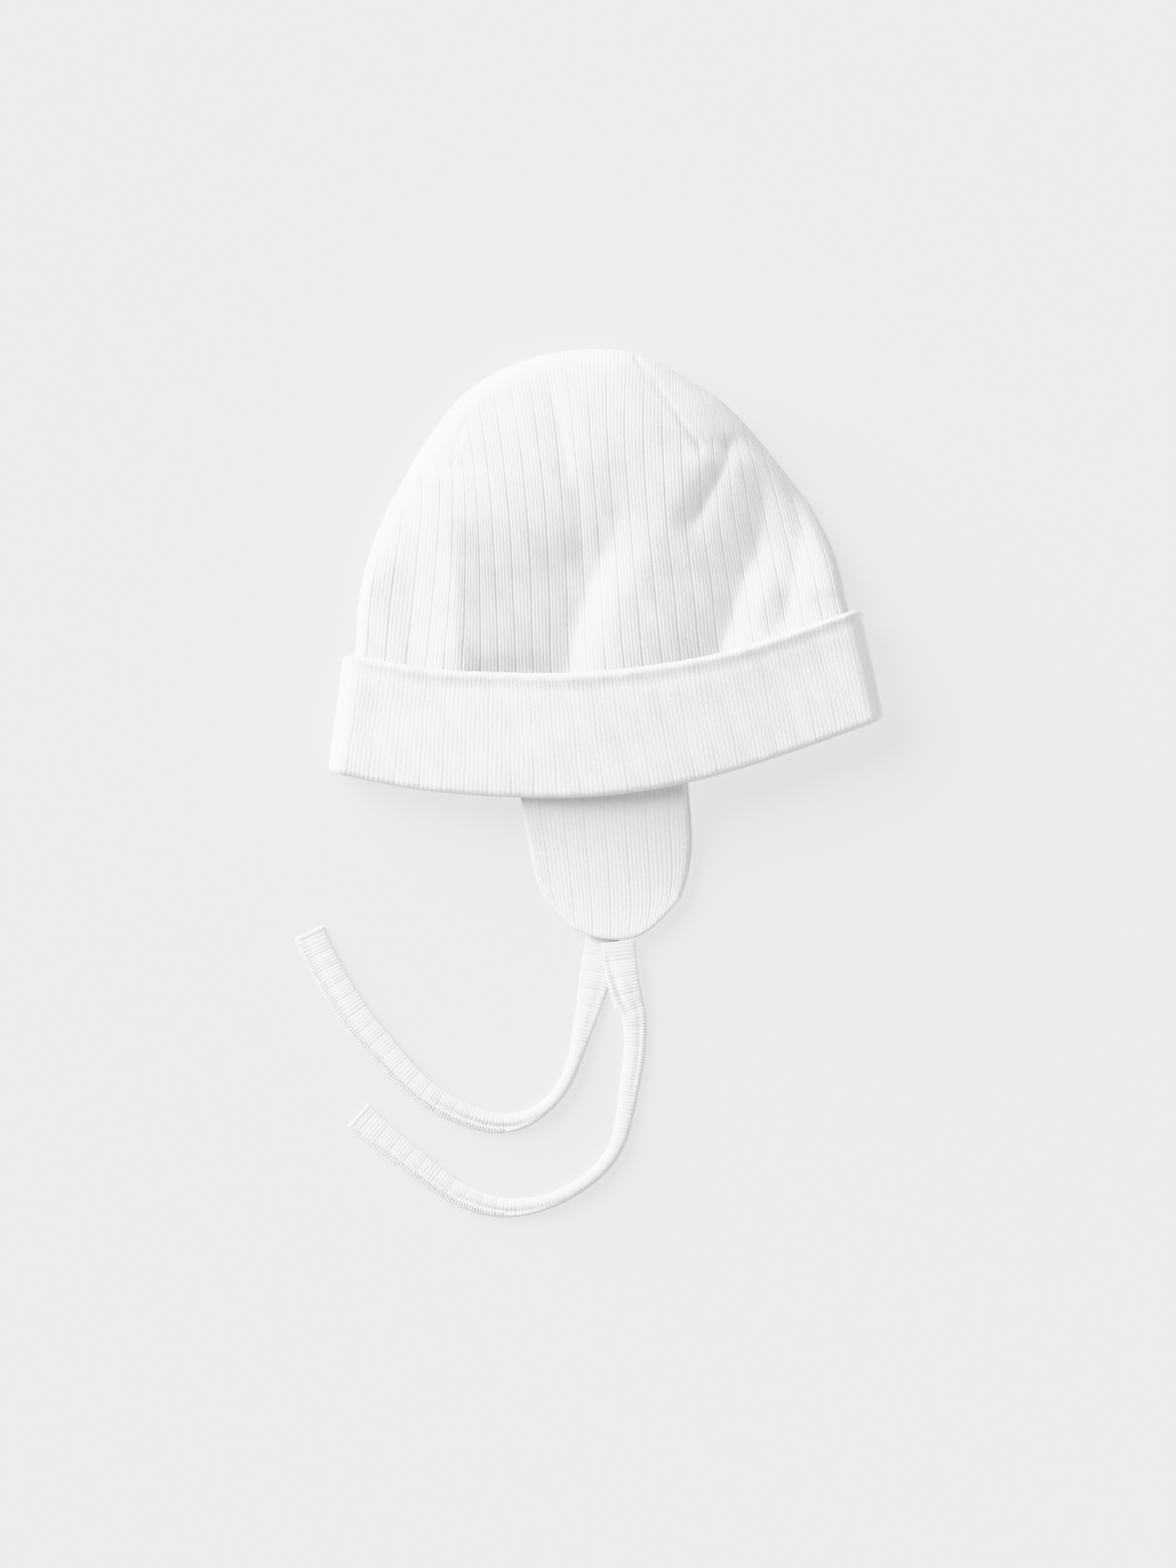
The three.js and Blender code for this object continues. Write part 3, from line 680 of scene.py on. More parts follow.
def knit_group():
    """The stitches of the knit, as a shader node group.

    Each single rib is a half round wave across the cloth, abs(sin(pi u)), and its stitches are
    chevrons: a cosine of the way along, put off by the distance from the rib's middle. Fine noise
    stands for the loose fibres. Height feeds a bump, and Shade is painted shade, a little darker
    between stitches.
    """
    name = "cotton knit stitches"
    known = bpy.data.node_groups.get(name)
    if known:
        return known
    tree = bpy.data.node_groups.new(name, "ShaderNodeTree")
    tree.interface.new_socket(name="Knit", in_out="INPUT", socket_type="NodeSocketVector")
    tree.interface.new_socket(name="Fibre Scale", in_out="INPUT", socket_type="NodeSocketFloat")
    tree.interface.new_socket(name="Fibre", in_out="INPUT", socket_type="NodeSocketFloat")
    tree.interface.new_socket(name="Height", in_out="OUTPUT", socket_type="NodeSocketFloat")
    tree.interface.new_socket(name="Shade", in_out="OUTPUT", socket_type="NodeSocketFloat")
    entry = add_node(tree, "NodeGroupInput")
    leave = add_node(tree, "NodeGroupOutput")
    split = add_node(tree, "ShaderNodeSeparateXYZ")
    join(tree, entry.outputs["Knit"], split.inputs[0])
    across = split.outputs["X"]
    along = split.outputs["Y"]
    rib = math_node(tree, "ABSOLUTE", math_node(tree, "SINE", math_node(tree, "MULTIPLY", across, np.pi)))
    middle = math_node(tree, "ABSOLUTE", math_node(tree, "SUBTRACT", math_node(tree, "FRACT", across), 0.5))
    chevron = math_node(tree, "MULTIPLY_ADD", middle, CHEVRON_SLOPE, along)
    turn = math_node(tree, "COSINE", math_node(tree, "MULTIPLY", chevron, 2 * np.pi))
    stitch = math_node(tree, "MULTIPLY_ADD", turn, 0.5, 0.5)
    fibres = add_node(tree, "ShaderNodeTexNoise", noise_dimensions="3D")
    place = add_node(tree, "ShaderNodeTexCoord")
    join(tree, place.outputs["Object"], fibres.inputs["Vector"])
    join(tree, entry.outputs["Fibre Scale"], fibres.inputs["Scale"])
    fibres.inputs["Detail"].default_value = 3.0
    fuzz = math_node(tree, "MULTIPLY", fibres.outputs["Fac"], entry.outputs["Fibre"])
    share = math_node(tree, "MULTIPLY_ADD", stitch, STITCH_SHARE, 1 - STITCH_SHARE)
    knitted = math_node(tree, "MULTIPLY", rib, share)
    join(tree, math_node(tree, "ADD", knitted, fuzz), leave.inputs["Height"])
    join(tree, knitted, leave.inputs["Shade"])
    return tree


def knit_material(name, colour, painted_groove_shade, stitch_depth):
    """White cotton knit: stitches and fibres as bump, painted shade in the grooves and between the
    stitches, and a soft sheen.
    """
    known = bpy.data.materials.get(name)
    if known:
        return known
    material = bpy.data.materials.new(name)
    material.use_nodes = True
    tree = material.node_tree
    shader = tree.nodes["Principled BSDF"]
    shader.inputs["Roughness"].default_value = 0.95
    shader.inputs["Specular IOR Level"].default_value = 0.15
    shader.inputs["Sheen Weight"].default_value = 0.08
    shader.inputs["Sheen Roughness"].default_value = 0.6
    knit = add_node(tree, "ShaderNodeUVMap", uv_map=KNIT_MAP)
    stitches = add_node(tree, "ShaderNodeGroup", node_tree=knit_group())
    join(tree, knit.outputs["UV"], stitches.inputs["Knit"])
    stitches.inputs["Fibre Scale"].default_value = 1500.0
    stitches.inputs["Fibre"].default_value = 1.3
    groove = add_node(tree, "ShaderNodeAttribute", attribute_name=PAINTED_GROOVE_SHADE_FIELD)
    blotches = add_node(tree, "ShaderNodeTexNoise")
    place = add_node(tree, "ShaderNodeTexCoord")
    join(tree, place.outputs["Object"], blotches.inputs["Vector"])
    blotches.inputs["Scale"].default_value = 55.0
    blotches.inputs["Detail"].default_value = 2.0
    tone = math_node(tree, "MULTIPLY_ADD", blotches.outputs["Fac"], BLOTCH_TONE, BASE_TONE)
    # Painted shade: the colour is a little darker between the stitches.
    tone = math_node(tree, "MULTIPLY_ADD", stitches.outputs["Shade"], PAINTED_STITCH_SHADE, tone)
    # Painted shade: the colour is darkened in the grooves by the share of groove each point takes.
    darker = math_node(tree, "MULTIPLY", groove.outputs["Fac"], painted_groove_shade)
    tone = math_node(tree, "SUBTRACT", tone, darker)
    # In colour mode a Mix node's two colours are its inputs 6 and 7, and the result is its output 2.
    mix = add_node(tree, "ShaderNodeMix", data_type="RGBA", blend_type="MULTIPLY")
    mix.inputs["Factor"].default_value = 1.0
    mix.inputs[6].default_value = (*colour, 1.0)
    join(tree, tone, mix.inputs[7])
    join(tree, mix.outputs[2], shader.inputs["Base Color"])
    bump = add_node(tree, "ShaderNodeBump")
    bump.inputs["Strength"].default_value = 1.0
    bump.inputs["Distance"].default_value = stitch_depth
    join(tree, stitches.outputs["Height"], bump.inputs["Height"])
    join(tree, bump.outputs["Normal"], shader.inputs["Normal"])
    return material


def length_along(points):
    """How far each point of a grid lies along its column, measured over the surface."""
    steps = np.linalg.norm(np.diff(points, axis=0), axis=-1)
    return np.concatenate([np.zeros((1, points.shape[1])), np.cumsum(steps, axis=0)])


def knit_places(ribs, along):
    """Each point's place in the cloth: single ribs across it, and stitches along it."""
    return np.stack([np.broadcast_to(ribs * SINGLE_RIBS, along.shape), along / STITCH_HEIGHT], -1)


class NightcapSizes(bpy.types.PropertyGroup):
    """Sizes of the knitted relief."""

    groove_depth: FloatProperty(name="Groove Depth", description="Depth of the grooves between the ribs",
                                default=0.0002, unit="LENGTH", precision=5)
    rib_bow: FloatProperty(name="Rib Bow", description="How far a rib bulges between its grooves",
                           default=0.00003, unit="LENGTH", precision=5)
    single_rib: FloatProperty(name="Single Rib Depth", description="Depth between two single ribs",
                              default=0.00003, unit="LENGTH", precision=5)
    stitch_depth: FloatProperty(name="Stitch Depth", description="Depth of the stitches in the finish",
                                default=0.00010, unit="LENGTH", precision=5)
    tie_stitch_depth: FloatProperty(name="Tie Stitch Depth",
                                    description="Depth of the stitches on the ties",
                                    default=0.00003, unit="LENGTH", precision=5)
    tie_groove_depth: FloatProperty(name="Tie Groove Depth",
                                    description="Depth of the grooves across the ties",
                                    default=0.00006, unit="LENGTH", precision=5)
    tie_rib_bow: FloatProperty(name="Tie Rib Bow", description="How far a tie bulges between its grooves",
                               default=0.00010, unit="LENGTH", precision=5)
    seam_depth: FloatProperty(name="Seam Depth", description="Depth of the valley along a dart's seam",
                              default=0.0006, unit="LENGTH", precision=5)
    thread: FloatProperty(name="Overlock Thread", description="Diameter of the thread on the ties' edges",
                          default=0.00062, unit="LENGTH", precision=5)


class NightcapColours(bpy.types.PropertyGroup):
    """Colours of the cloth and of the stage."""

    cotton: FloatVectorProperty(name="Cotton", description="Colour of the rib knit of the crown",
                                default=(0.872, 0.882, 0.874), subtype="COLOR", min=0, max=1)
    # Painted light: the cuff and ear flaps take a lighter copy of the crown's cotton, which brightens them
    # where they slope away from the light.
    doubled_cotton_painted_lighter: FloatVectorProperty(name="Doubled Cotton Painted Lighter",
                                        description="Colour of the rib knit where it lies double",
                                        default=(0.905, 0.914, 0.906), subtype="COLOR", min=0, max=1)
    tie_cotton: FloatVectorProperty(name="Tie Cotton", description="Colour of the ties and their thread",
                                    default=(0.868, 0.879, 0.871), subtype="COLOR", min=0, max=1)
    # Painted shade: how much darker the colour is made in the grooves.
    painted_groove_shade: FloatProperty(name="Groove Shade", description="How much darker the grooves are",
                                default=0.06, min=0, max=1, subtype="FACTOR")
    floor: FloatVectorProperty(name="Floor", description="Colour of the floor",
                               default=(0.2, 0.2, 0.2), subtype="COLOR", min=0, max=1)
    floor_glow: FloatProperty(name="Floor Glow", description="Light that the floor gives off by itself",
                              default=0.66, min=0, max=1)


def angles_round(sides):
    """Angles of the points round a ring."""
    return np.arange(sides) / sides * 2 * np.pi


def flattened(value):
    """A sine or cosine bent towards a flat round section: sign(v) |v|^TIE_SECTION_POWER."""
    return np.sign(value) * np.abs(value) ** TIE_SECTION_POWER


def tie_surface(route, creases, sizes):
    """A tie as a grid of rings along its route, with its place in the cloth, its painted groove shade and
    its spine.

    A ring is a flattened round section c, across = c(cos a) width / 2 and rise = c(sin a) thickness / 2.
    Its upper side has a hollow, a bell of depth curl beside the overlocked edge on the left of the
    route, its creases, which are bells whose middle moves across, and the grooves of the ribs, which
    run across a tie. The free end is rounded off behind a hem. The spine holds the tie's centre line
    and, beside each of its points, the way to the left, the thickness and the width.
    """
    rows = dict(zip(TIE_COLUMNS, np.array(route).T))
    rough = np.linspace(0, len(route) - 1, 40 * len(route))
    plan = np.column_stack([through(rows[name], rough) for name in ("x", "y")])
    travelled = np.concatenate([[0], np.cumsum(np.linalg.norm(np.diff(plan, axis=0), axis=1))])
    count = int(round(travelled[-1] / TIE_STEP))
    along = np.linspace(0, travelled[-1], count + 1)
    places = np.interp(along, travelled, rough)
    value = {name: through(rows[name], places) for name in TIE_COLUMNS}
    thickness = TIE_SECTION_AREA / value["width"]
    centre = np.column_stack([value["x"], value["y"], value["under"] + thickness / 2])
    ahead = unit(np.gradient(centre[:, :2], axis=0))
    left = np.column_stack([-ahead[:, 1], ahead[:, 0], np.zeros(len(ahead))])
    angles = angles_round(TIE_SIDES)
    across = flattened(np.cos(angles))
    rise = flattened(np.sin(angles))
    strayed = uneven(along / TIE_STRAY_LENGTHS[0], along / TIE_STRAY_LENGTHS[1], seed=2.0)
    ribs = along / TIE_RIB_PITCH + TIE_RIB_STRAY * strayed
    change = uneven(along / TIE_DEPTH_LENGTHS[0], along / TIE_DEPTH_LENGTHS[1], seed=0.6)
    deep = sizes.tie_groove_depth * (TIE_DEPTH_MEAN + TIE_DEPTH_CHANGE * change)
    relief, groove = rib_relief(ribs, deep, sizes.tie_rib_bow, TIE_SINGLE_RIB, TIE_GROOVE_HALF)
    to_end = travelled[-1] - along
    relief = relief * smoothstep(to_end, TIE_HEM, TIE_HEM + TIE_HEM_FADE)
    relief += TIE_HEM_HEIGHT * bell(to_end, TIE_HEM, TIE_HEM_HALF)
    closing = TIE_END_HEIGHT + (1 - TIE_END_HEIGHT) * rounding(to_end / TIE_END_ROUND)
    on_top = np.clip(rise, 0, 1)
    edge_hollow = bell(across, TIE_HOLLOW_MIDDLE, TIE_HOLLOW_HALF) * on_top
    height = rise[None, :] * thickness[:, None] / 2 - value["curl"][:, None] * edge_hollow
    for crease in creases:
        first, last = crease["along"]
        middle = np.interp(along, crease["along"], crease["across"])[:, None]
        ends = smoothstep(along, first + CREASE_START[0], first + CREASE_START[1])
        ends = ends * (1 - smoothstep(along, last + CREASE_END[0], last + CREASE_END[1]))
        hollow = bell(across[None, :], middle, crease["width"]) * on_top
        height -= crease["depth"] * ends[:, None] * hollow
    height = (height - relief[:, None] * on_top) * closing[:, None]
    end_width = TIE_END_WIDTH + (1 - TIE_END_WIDTH) * closing[:, None]
    half_width = value["width"][:, None] / 2 - TIE_SIDE_RELIEF * relief[:, None]
    width = across[None, :] * half_width * end_width
    points = centre[:, None, :] + left[:, None, :] * width[..., None]
    points[..., 2] += height
    # Painted shade in the tie's grooves.
    field = np.broadcast_to(TIE_PAINTED_GROOVE_SHADE * groove[:, None], width.shape)
    spine = {"along": along, "centre": centre, "left": left, "thickness": thickness,
             "width": value["width"]}
    return points, knit_places(ribs[:, None], width), field, spine


def ring_cap(ring, flip):
    """Flat quads and end triangles that close a ring whose point k faces point n - k."""
    half = len(ring) // 2
    near = np.arange(1, half - 1)
    quads = np.stack([ring[near], ring[near + 1], ring[-near - 1], ring[-near]], -1)
    ends = np.array([[ring[0], ring[1], ring[-1]], [ring[half - 1], ring[half], ring[half + 1]]])
    return (quads[:, ::-1], ends[:, ::-1]) if flip else (quads, ends)


def tube_faces(numbers, flip=False):
    """Faces of a closed tube: its wall round the rings, and a cap at each end."""
    wall = grid_quads(closed_round(numbers))
    return [wall[:, ::-1] if flip else wall, *ring_cap(numbers[0], not flip), *ring_cap(numbers[-1], flip)]


def make_tie(tie, sizes, colours):
    """One tie, its overlock stitching and their cord."""
    points, knit, groove, spine = tie_surface(tie["route"], tie["creases"], sizes)
    faces = tube_faces(sheet_numbers(*points.shape[:2], 0))
    material = knit_material("tie knit", colours.tie_cotton, colours.painted_groove_shade, sizes.tie_stitch_depth)
    piece = new_piece(tie["name"], points, faces, groove, knit, material)
    dress(piece, "tie_knit", tie["node"])
    stitching = make_overlock(tie["name"] + "_overlock", tie["stretches"], spine, sizes.thread, material)
    dress(stitching, "tie_knit")


def make_overlock(name, stretches, spine, thread, material):
    """Overlock thread wound round a tie's left edge, as a tube along a flat helix.

    The helix turns once each pitch: across = width / 2 + outside - reach (1 - cos turn), and its rise
    is the tie's own half height there less part of the thread, above the tie for one half turn and
    below it for the other, so that each loop stands out of the cloth as a low round bump.
    """
    along = spine["along"]
    points = []
    faces = []
    total = 0
    for start, end in stretches:
        count = int((end - start) / OVERLOCK_PITCH * OVERLOCK_TURN_POINTS)
        way = np.linspace(start, end, count)
        turn = 2 * np.pi * way / OVERLOCK_PITCH
        middle = np.column_stack([np.interp(way, along, axis) for axis in spine["centre"].T])
        sideways = np.column_stack([np.interp(way, along, axis) for axis in spine["left"].T])
        half_width = np.interp(way, along, spine["width"]) / 2
        across = half_width + OVERLOCK_OUTSIDE - OVERLOCK_REACH * (1 - np.cos(turn))
        share = np.clip(across / half_width, 0, 1)
        power = 2 / TIE_SECTION_POWER
        half_height = np.interp(way, along, spine["thickness"]) / 2 * (1 - share**power) ** (1 / power)
        over_edge = np.clip(OVERLOCK_STEEP * np.sin(turn), -1, 1)
        line = middle + sideways * across[:, None]
        line[:, 2] += (half_height - OVERLOCK_SUNK * thread) * over_edge
        line[:, 2] = np.maximum(line[:, 2], thread / 2)
        points.append(tube_points(line, thread / 2, THREAD_SIDES).reshape(-1, 3))
        numbers = sheet_numbers(count, THREAD_SIDES, total)
        total += numbers.size
        faces += tube_faces(numbers, flip=True)
    points = np.concatenate(points)
    return new_piece(name, points, faces, np.zeros(total), points[:, :2] * THREAD_KNIT, material)


def tube_points(line, radius, sides):
    """Rings of a round tube: line + radius (cos a N + sin a B), with N and B square to the line."""
    ahead = unit(np.gradient(line, axis=0))
    sideways = unit(np.cross(ahead, (0.0, 0.0, 1.0)))
    above = np.cross(sideways, ahead)
    cosine = np.cos(angles_round(sides))[None, :, None]
    sine = np.sin(angles_round(sides))[None, :, None]
    ring = cosine * sideways[:, None, :] + sine * above[:, None, :]
    return line[:, None, :] + radius * ring


class NIGHTCAP_OT_ties(bpy.types.Operator):
    """Make the two ties, rolled in their bends and overlocked along one edge"""

    bl_idname = "nightcap.ties"
    bl_label = "Ties"

    def execute(self, context):
        sizes = context.scene.nightcap_sizes
        colours = context.scene.nightcap_colours
        for tie in TIES:
            make_tie(tie, sizes, colours)
        return {"FINISHED"}


def closing_in(last, span, count=10):
    """Places that come closer together up to the last: last - span (1 - k / count)^2."""
    return last - span * (1 - np.arange(1, count + 1) / count) ** 2


def spaced_courses():
    """Courses at which the crown's outer face has points: few under the cuff and close at the top."""
    hidden = np.linspace(0, 0.9, 8)
    open_part = np.linspace(0.94, 4.6, 86)
    return np.concatenate([hidden, open_part, closing_in(TOP_FOLD, 0.36)])


def spaced_ribs(last_rib):
    """Ribs at which a face has points: evenly spaced, and closer beside the two side folds."""
    close = np.array([0.003, 0.012, 0.027, 0.038])
    body = np.arange(0, last_rib * POINTS_A_RIB + 1) / POINTS_A_RIB
    return np.sort(np.concatenate([body, close, last_rib - close]))


class NIGHTCAP_OT_crown(bpy.types.Operator):
    """Make the crown: two ribbed sheets joined at the side folds and the top, open at the mouth"""

    bl_idname = "nightcap.crown"
    bl_label = "Crown"

    def execute(self, context):
        sizes = context.scene.nightcap_sizes
        colours = context.scene.nightcap_colours
        ribs = spaced_ribs(CROWN_RIBS)
        courses = spaced_courses()
        sheets = crown_faces(ribs, courses)
        sides = []
        grooves = []
        for upper, step in ((True, 1), (False, COARSE_STEP)):
            points, outward, distance = sheets[upper]
            relief, groove = crown_relief(ribs, points, distance, sizes)
            sides.append((points - outward * relief[..., None])[:, ::step])
            grooves.append(groove[:, ::step].ravel())
        upper, lower = sides
        lower_ribs = ribs[::COARSE_STEP]
        inner_courses = np.concatenate([np.linspace(0, 4.6, 24), [4.75, 4.86, 4.94, 4.98, 5.0]])
        inner = crown_faces(lower_ribs, inner_courses)
        inner_upper = inner[True][0] - inner[True][1] * CROWN_WALL
        inner_lower = inner[False][0] - inner[False][1] * CROWN_WALL
        blocks = [upper, lower, inner_upper, inner_lower]
        starts = np.cumsum([0] + [block.shape[0] * block.shape[1] for block in blocks])
        numbers = [sheet_numbers(*block.shape[:2], start) for block, start in zip(blocks, starts)]
        up, down, in_up, in_down = numbers
        for outer, under in ((up[:, :: len(up[0]) - 1], down), (in_up[:, :: len(in_up[0]) - 1], in_down)):
            under[:, 0] = outer[:, 0]
            under[:, -1] = outer[:, -1]
        in_down[-1] = in_up[-1]
        faces = [
            *sheet_faces(up),
            grid_quads(down[:-1])[:, ::-1],
            fan_triangles(up[-1], down[-2]),
            *sheet_faces(in_up, flip=True),
            *sheet_faces(in_down),
            fan_triangles(up[0], in_up[0])[:, ::-1],
            grid_quads(np.stack([down[0], in_down[0]])),
        ]
        knit_rows = [
            (ribs, length_along(sheets[True][0])),
            (lower_ribs, length_along(sheets[False][0])[:, ::COARSE_STEP]),
            (lower_ribs, length_along(inner[True][0])),
            (lower_ribs, length_along(inner[False][0])),
        ]
        knit = np.concatenate([knit_places(across, along).reshape(-1, 2) for across, along in knit_rows])
        hidden = sum(along.size for _, along in knit_rows[2:])
        # Painted shade in the grooves of the outer faces; the hidden inner faces take none.
        field = np.concatenate([*grooves, np.zeros(hidden)])
        material = knit_material("rib knit", colours.cotton, colours.painted_groove_shade, sizes.stitch_depth)
        everything = np.concatenate([block.reshape(-1, 3) for block in blocks])
        piece = new_piece("crown_cloth", everything, faces, field, knit, material)
        dress(piece, "rib_knit", "crown")
        return {"FINISHED"}


def doubled_material_painted_lighter(sizes, colours):
    """The finish of the cloth that lies double, in the cuff and the ear flaps: a lighter copy of the
    crown's cotton, painted light.
    """
    shade = colours.painted_groove_shade
    return knit_material("doubled rib knit painted lighter", colours.doubled_cotton_painted_lighter, shade, sizes.stitch_depth)


class NIGHTCAP_OT_cuff(bpy.types.Operator):
    """Make the cuff: a band turned up round the mouth, with a rolled top edge and a folded bottom"""

    bl_idname = "nightcap.cuff"
    bl_label = "Cuff"

    def execute(self, context):
        sizes = context.scene.nightcap_sizes
        colours = context.scene.nightcap_colours
        section = cuff_section()
        ribs = spaced_ribs(CROWN_RIBS)
        courses = section["course"]
        order = np.unique(courses)
        at = np.searchsorted(order, courses)
        sheets = crown_faces(ribs, order, under_cuff=False)
        short_way = 0.05
        start = crown_faces(ribs, np.array([0.0, short_way]), under_cuff=False)
        rings = []
        fields = []
        knits = []
        for upper, step in ((True, 1), (False, COARSE_STEP)):
            points, outward, _ = (array[at] for array in sheets[upper])
            away = start[upper][0]
            down = unit(away[0] - away[1])
            cuff_ribs = wandering(CUFF_FIRST_RIB + CUFF_RIB_SHARE * ribs, points[..., 1])
            low_down = 1 - smoothstep(section["lean"], 0.0, CUFF_GROOVES_LEVEL)[:, None]
            deeper = CUFF_GROOVES_HIGH + (CUFF_GROOVES_LOW - CUFF_GROOVES_HIGH) * low_down
            grooves = sizes.groove_depth * deeper
            relief, groove = rib_relief(cuff_ribs, grooves, sizes.rib_bow, sizes.single_rib)
            # The painted shade in the grooves follows their depth.
            groove = groove * deeper
            depth = CUFF_RELIEF * relief * section["ribbed"][:, None]
            from_fold = np.minimum(ribs, CROWN_RIBS - ribs)
            leaning = 1.0 if upper else 1 - smoothstep(from_fold, 0, CUFF_LEAN_RIBS)
            lean = section["lean"][:, None] * leaning
            out = section["out"][:, None] + CUFF_STAND_OFF * lean - depth
            near_corner = (1 - np.clip(from_fold / CUFF_CORNER_RIBS, 0, 1)) ** 2
            drop = CUFF_CORNER * near_corner * smoothstep(section["lean"], 0.9, 1.0)[:, None]
            below = section["below"][:, None] + drop
            surface = points + outward * out[..., None] + down[None] * below[..., None]
            surface[..., 2] = np.maximum(surface[..., 2], 0)
            along = length_along(surface)
            keep = slice(None, None, step) if upper else slice(step, -step, step)
            columns = surface[:, keep]
            values = (groove * section["ribbed"][:, None])[:, keep]
            knit = knit_places(cuff_ribs, along)[:, keep]
            rings.append(columns if upper else columns[:, ::-1])
            fields.append(values if upper else values[:, ::-1])
            knits.append(knit if upper else knit[:, ::-1])
        surface = np.concatenate(rings, 1)
        numbers = sheet_numbers(*surface.shape[:2], 0)
        looped = closed_round(numbers)
        faces = [grid_quads(np.concatenate([looped, looped[:1]]))]
        material = doubled_material_painted_lighter(sizes, colours)
        groove = np.concatenate(fields, 1)
        knit = np.concatenate(knits, 1)
        piece = new_piece("cuff_cloth", surface, faces, groove, knit, material)
        dress(piece, "rib_knit", "cuff")
        return {"FINISHED"}


def cuff_section():
    """Lines along the cuff, round its section: how far up the crown, how far out of its face, how much of
    the stand-off and of the ribs each takes, and how far it hangs below the crown's edge.

    The inner face runs down, the seat under the crown's edge and the bottom fold are half an ellipse,
    the outer face runs up with a valley and a roll near its top, and the top edge is a half ellipse.
    The valley, the roll and the top edge are placed by course, from 0 at the mouth to 1 at the top.
    """
    fold_depth = 0.0024
    roll_height = 0.0004
    valley_depth = 0.0002
    ribs_at_top = 0.15
    inner = np.linspace(0.985, 0.0, 9)
    rows = [(course, CLEARANCE, course, 0.0, 0.0) for course in inner[:-1]]
    rows.append((0.0, CLEARANCE, 0.0, 0.0, CLEARANCE))
    middle = (CUFF_OUT - CROWN_WALL) / 2
    half = (CUFF_OUT + CROWN_WALL) / 2
    for turn in np.linspace(0, np.pi, 12)[:-1]:
        share = turn / np.pi
        below = CLEARANCE * (1 - share) + fold_depth * np.sin(turn)
        rows.append((0.0, middle - half * np.cos(turn), 0.0, smoothstep(share, 0.45, 0.85), below))
    for course in np.concatenate([np.linspace(0.0, 0.80, 28), np.linspace(0.815, 0.955, 15)]):
        roll = roll_height * bell(course, 0.955, 0.045)
        valley = valley_depth * bell(course, 0.850, 0.050)
        ribbed = 1.0 - (1 - ribs_at_top) * smoothstep(course, 0.88, 0.94)
        rows.append((course, CUFF_OUT + roll - valley, course, ribbed, 0.0))
    for turn in np.linspace(0, np.pi, 10)[1:-1]:
        course = 0.96 + 0.032 * np.sin(turn) + 0.025 * turn / np.pi
        out = CLEARANCE + (CUFF_WALL + roll_height) / 2 * (1 + np.cos(turn))
        rows.append((course, out, 1.0, ribs_at_top * (1 - turn / np.pi), 0.0))
    names = ("course", "out", "lean", "ribbed", "below")
    return dict(zip(names, np.array(rows).T))


class NIGHTCAP_OT_ear_flaps(bpy.types.Operator):
    """Make the two ear flaps, each of two layers of cloth turned out at a rounded edge"""

    bl_idname = "nightcap.ear_flaps"
    bl_label = "Ear Flaps"

    def execute(self, context):
        sizes = context.scene.nightcap_sizes
        colours = context.scene.nightcap_colours
        for name, node, height, shift in (
            ("upper_ear_flap", "ear_flap_upper", "upper", (0.0, 0.0)),
            ("lower_ear_flap", "ear_flap_lower", "lower", LOWER_FLAP_SHIFT),
        ):
            make_flap(name, node, height, shift, sizes, colours)
        return {"FINISHED"}


def make_flap(name, node, height_column, shift, sizes, colours):
    """One ear flap: two faces, height +- thickness / 2 R(distance / round), that meet at its outline."""
    last = len(FLAP_SECTIONS) - 1
    ribs = spaced_ribs(FLAP_RIBS)
    courses = np.concatenate([np.linspace(0, 3.7, 52), closing_in(last, 0.26)])
    x, y = sheet_plan(FLAP_SECTIONS, FLAP_RIBS, ribs, courses)
    distance = nearest(sheet_outline(FLAP_SECTIONS, FLAP_RIBS), x, y)[0]
    distance[:, [0, -1]] = 0
    distance[-1] = 0
    height = through([row[height_column] for row in FLAP_SECTIONS], courses)[:, None] + 0 * x
    grooves = sizes.groove_depth * FLAP_GROOVES
    relief, groove = rib_relief(wandering(ribs, y), grooves, sizes.rib_bow, sizes.single_rib)
    relief = relief * smoothstep(distance, 0, FLAP_ROUND)
    full = rounding(distance / FLAP_ROUND)
    faces_at = []
    for sign in (1, -1):
        half = (FLAP_THICKNESS / 2 - relief * (1.0 if sign > 0 else FLAP_UNDERSIDE)) * full
        faces_at.append(np.stack([x + shift[0], y + shift[1], height + sign * half], -1))
    upper, lower = faces_at
    top = sheet_numbers(*upper.shape[:2], 0)
    bottom = sheet_numbers(*upper.shape[:2], top.size)
    bottom[:, 0] = top[:, 0]
    bottom[:, -1] = top[:, -1]
    bottom[-1] = top[-1]
    faces = [
        *sheet_faces(top, flip=True),
        *sheet_faces(bottom),
        grid_quads(np.stack([top[0], bottom[0]]))[1:-1],
        np.array([[top[0, 0], top[0, 1], bottom[0, 1]], [top[0, -2], top[0, -1], bottom[0, -2]]]),
    ]
    knit = np.stack([knit_places(ribs, length_along(upper))] * 2)
    # Painted shade in the flaps' grooves, at a share of the full darkening.
    field = np.stack([groove * FLAP_PAINTED_GROOVE_SHADE] * 2)
    material = doubled_material_painted_lighter(sizes, colours)
    piece = new_piece(name, np.stack([upper, lower]), faces, field, knit, material)
    dress(piece, "rib_knit", node)


def soften_highlights(view_settings):
    """A camera's shoulder: light up to 0.75 is shown as it is, and brighter light is pressed together."""
    brightest, most_shown = SHOULDER[-1]
    view_settings.use_curve_mapping = True
    mapping = view_settings.curve_mapping
    mapping.white_level = (brightest, brightest, brightest)
    curve = mapping.curves[3]
    for light, shown in SHOULDER[1:-1]:
        curve.points.new(light / brightest, shown)
    curve.points[-1].location = (1.0, most_shown)
    mapping.update()


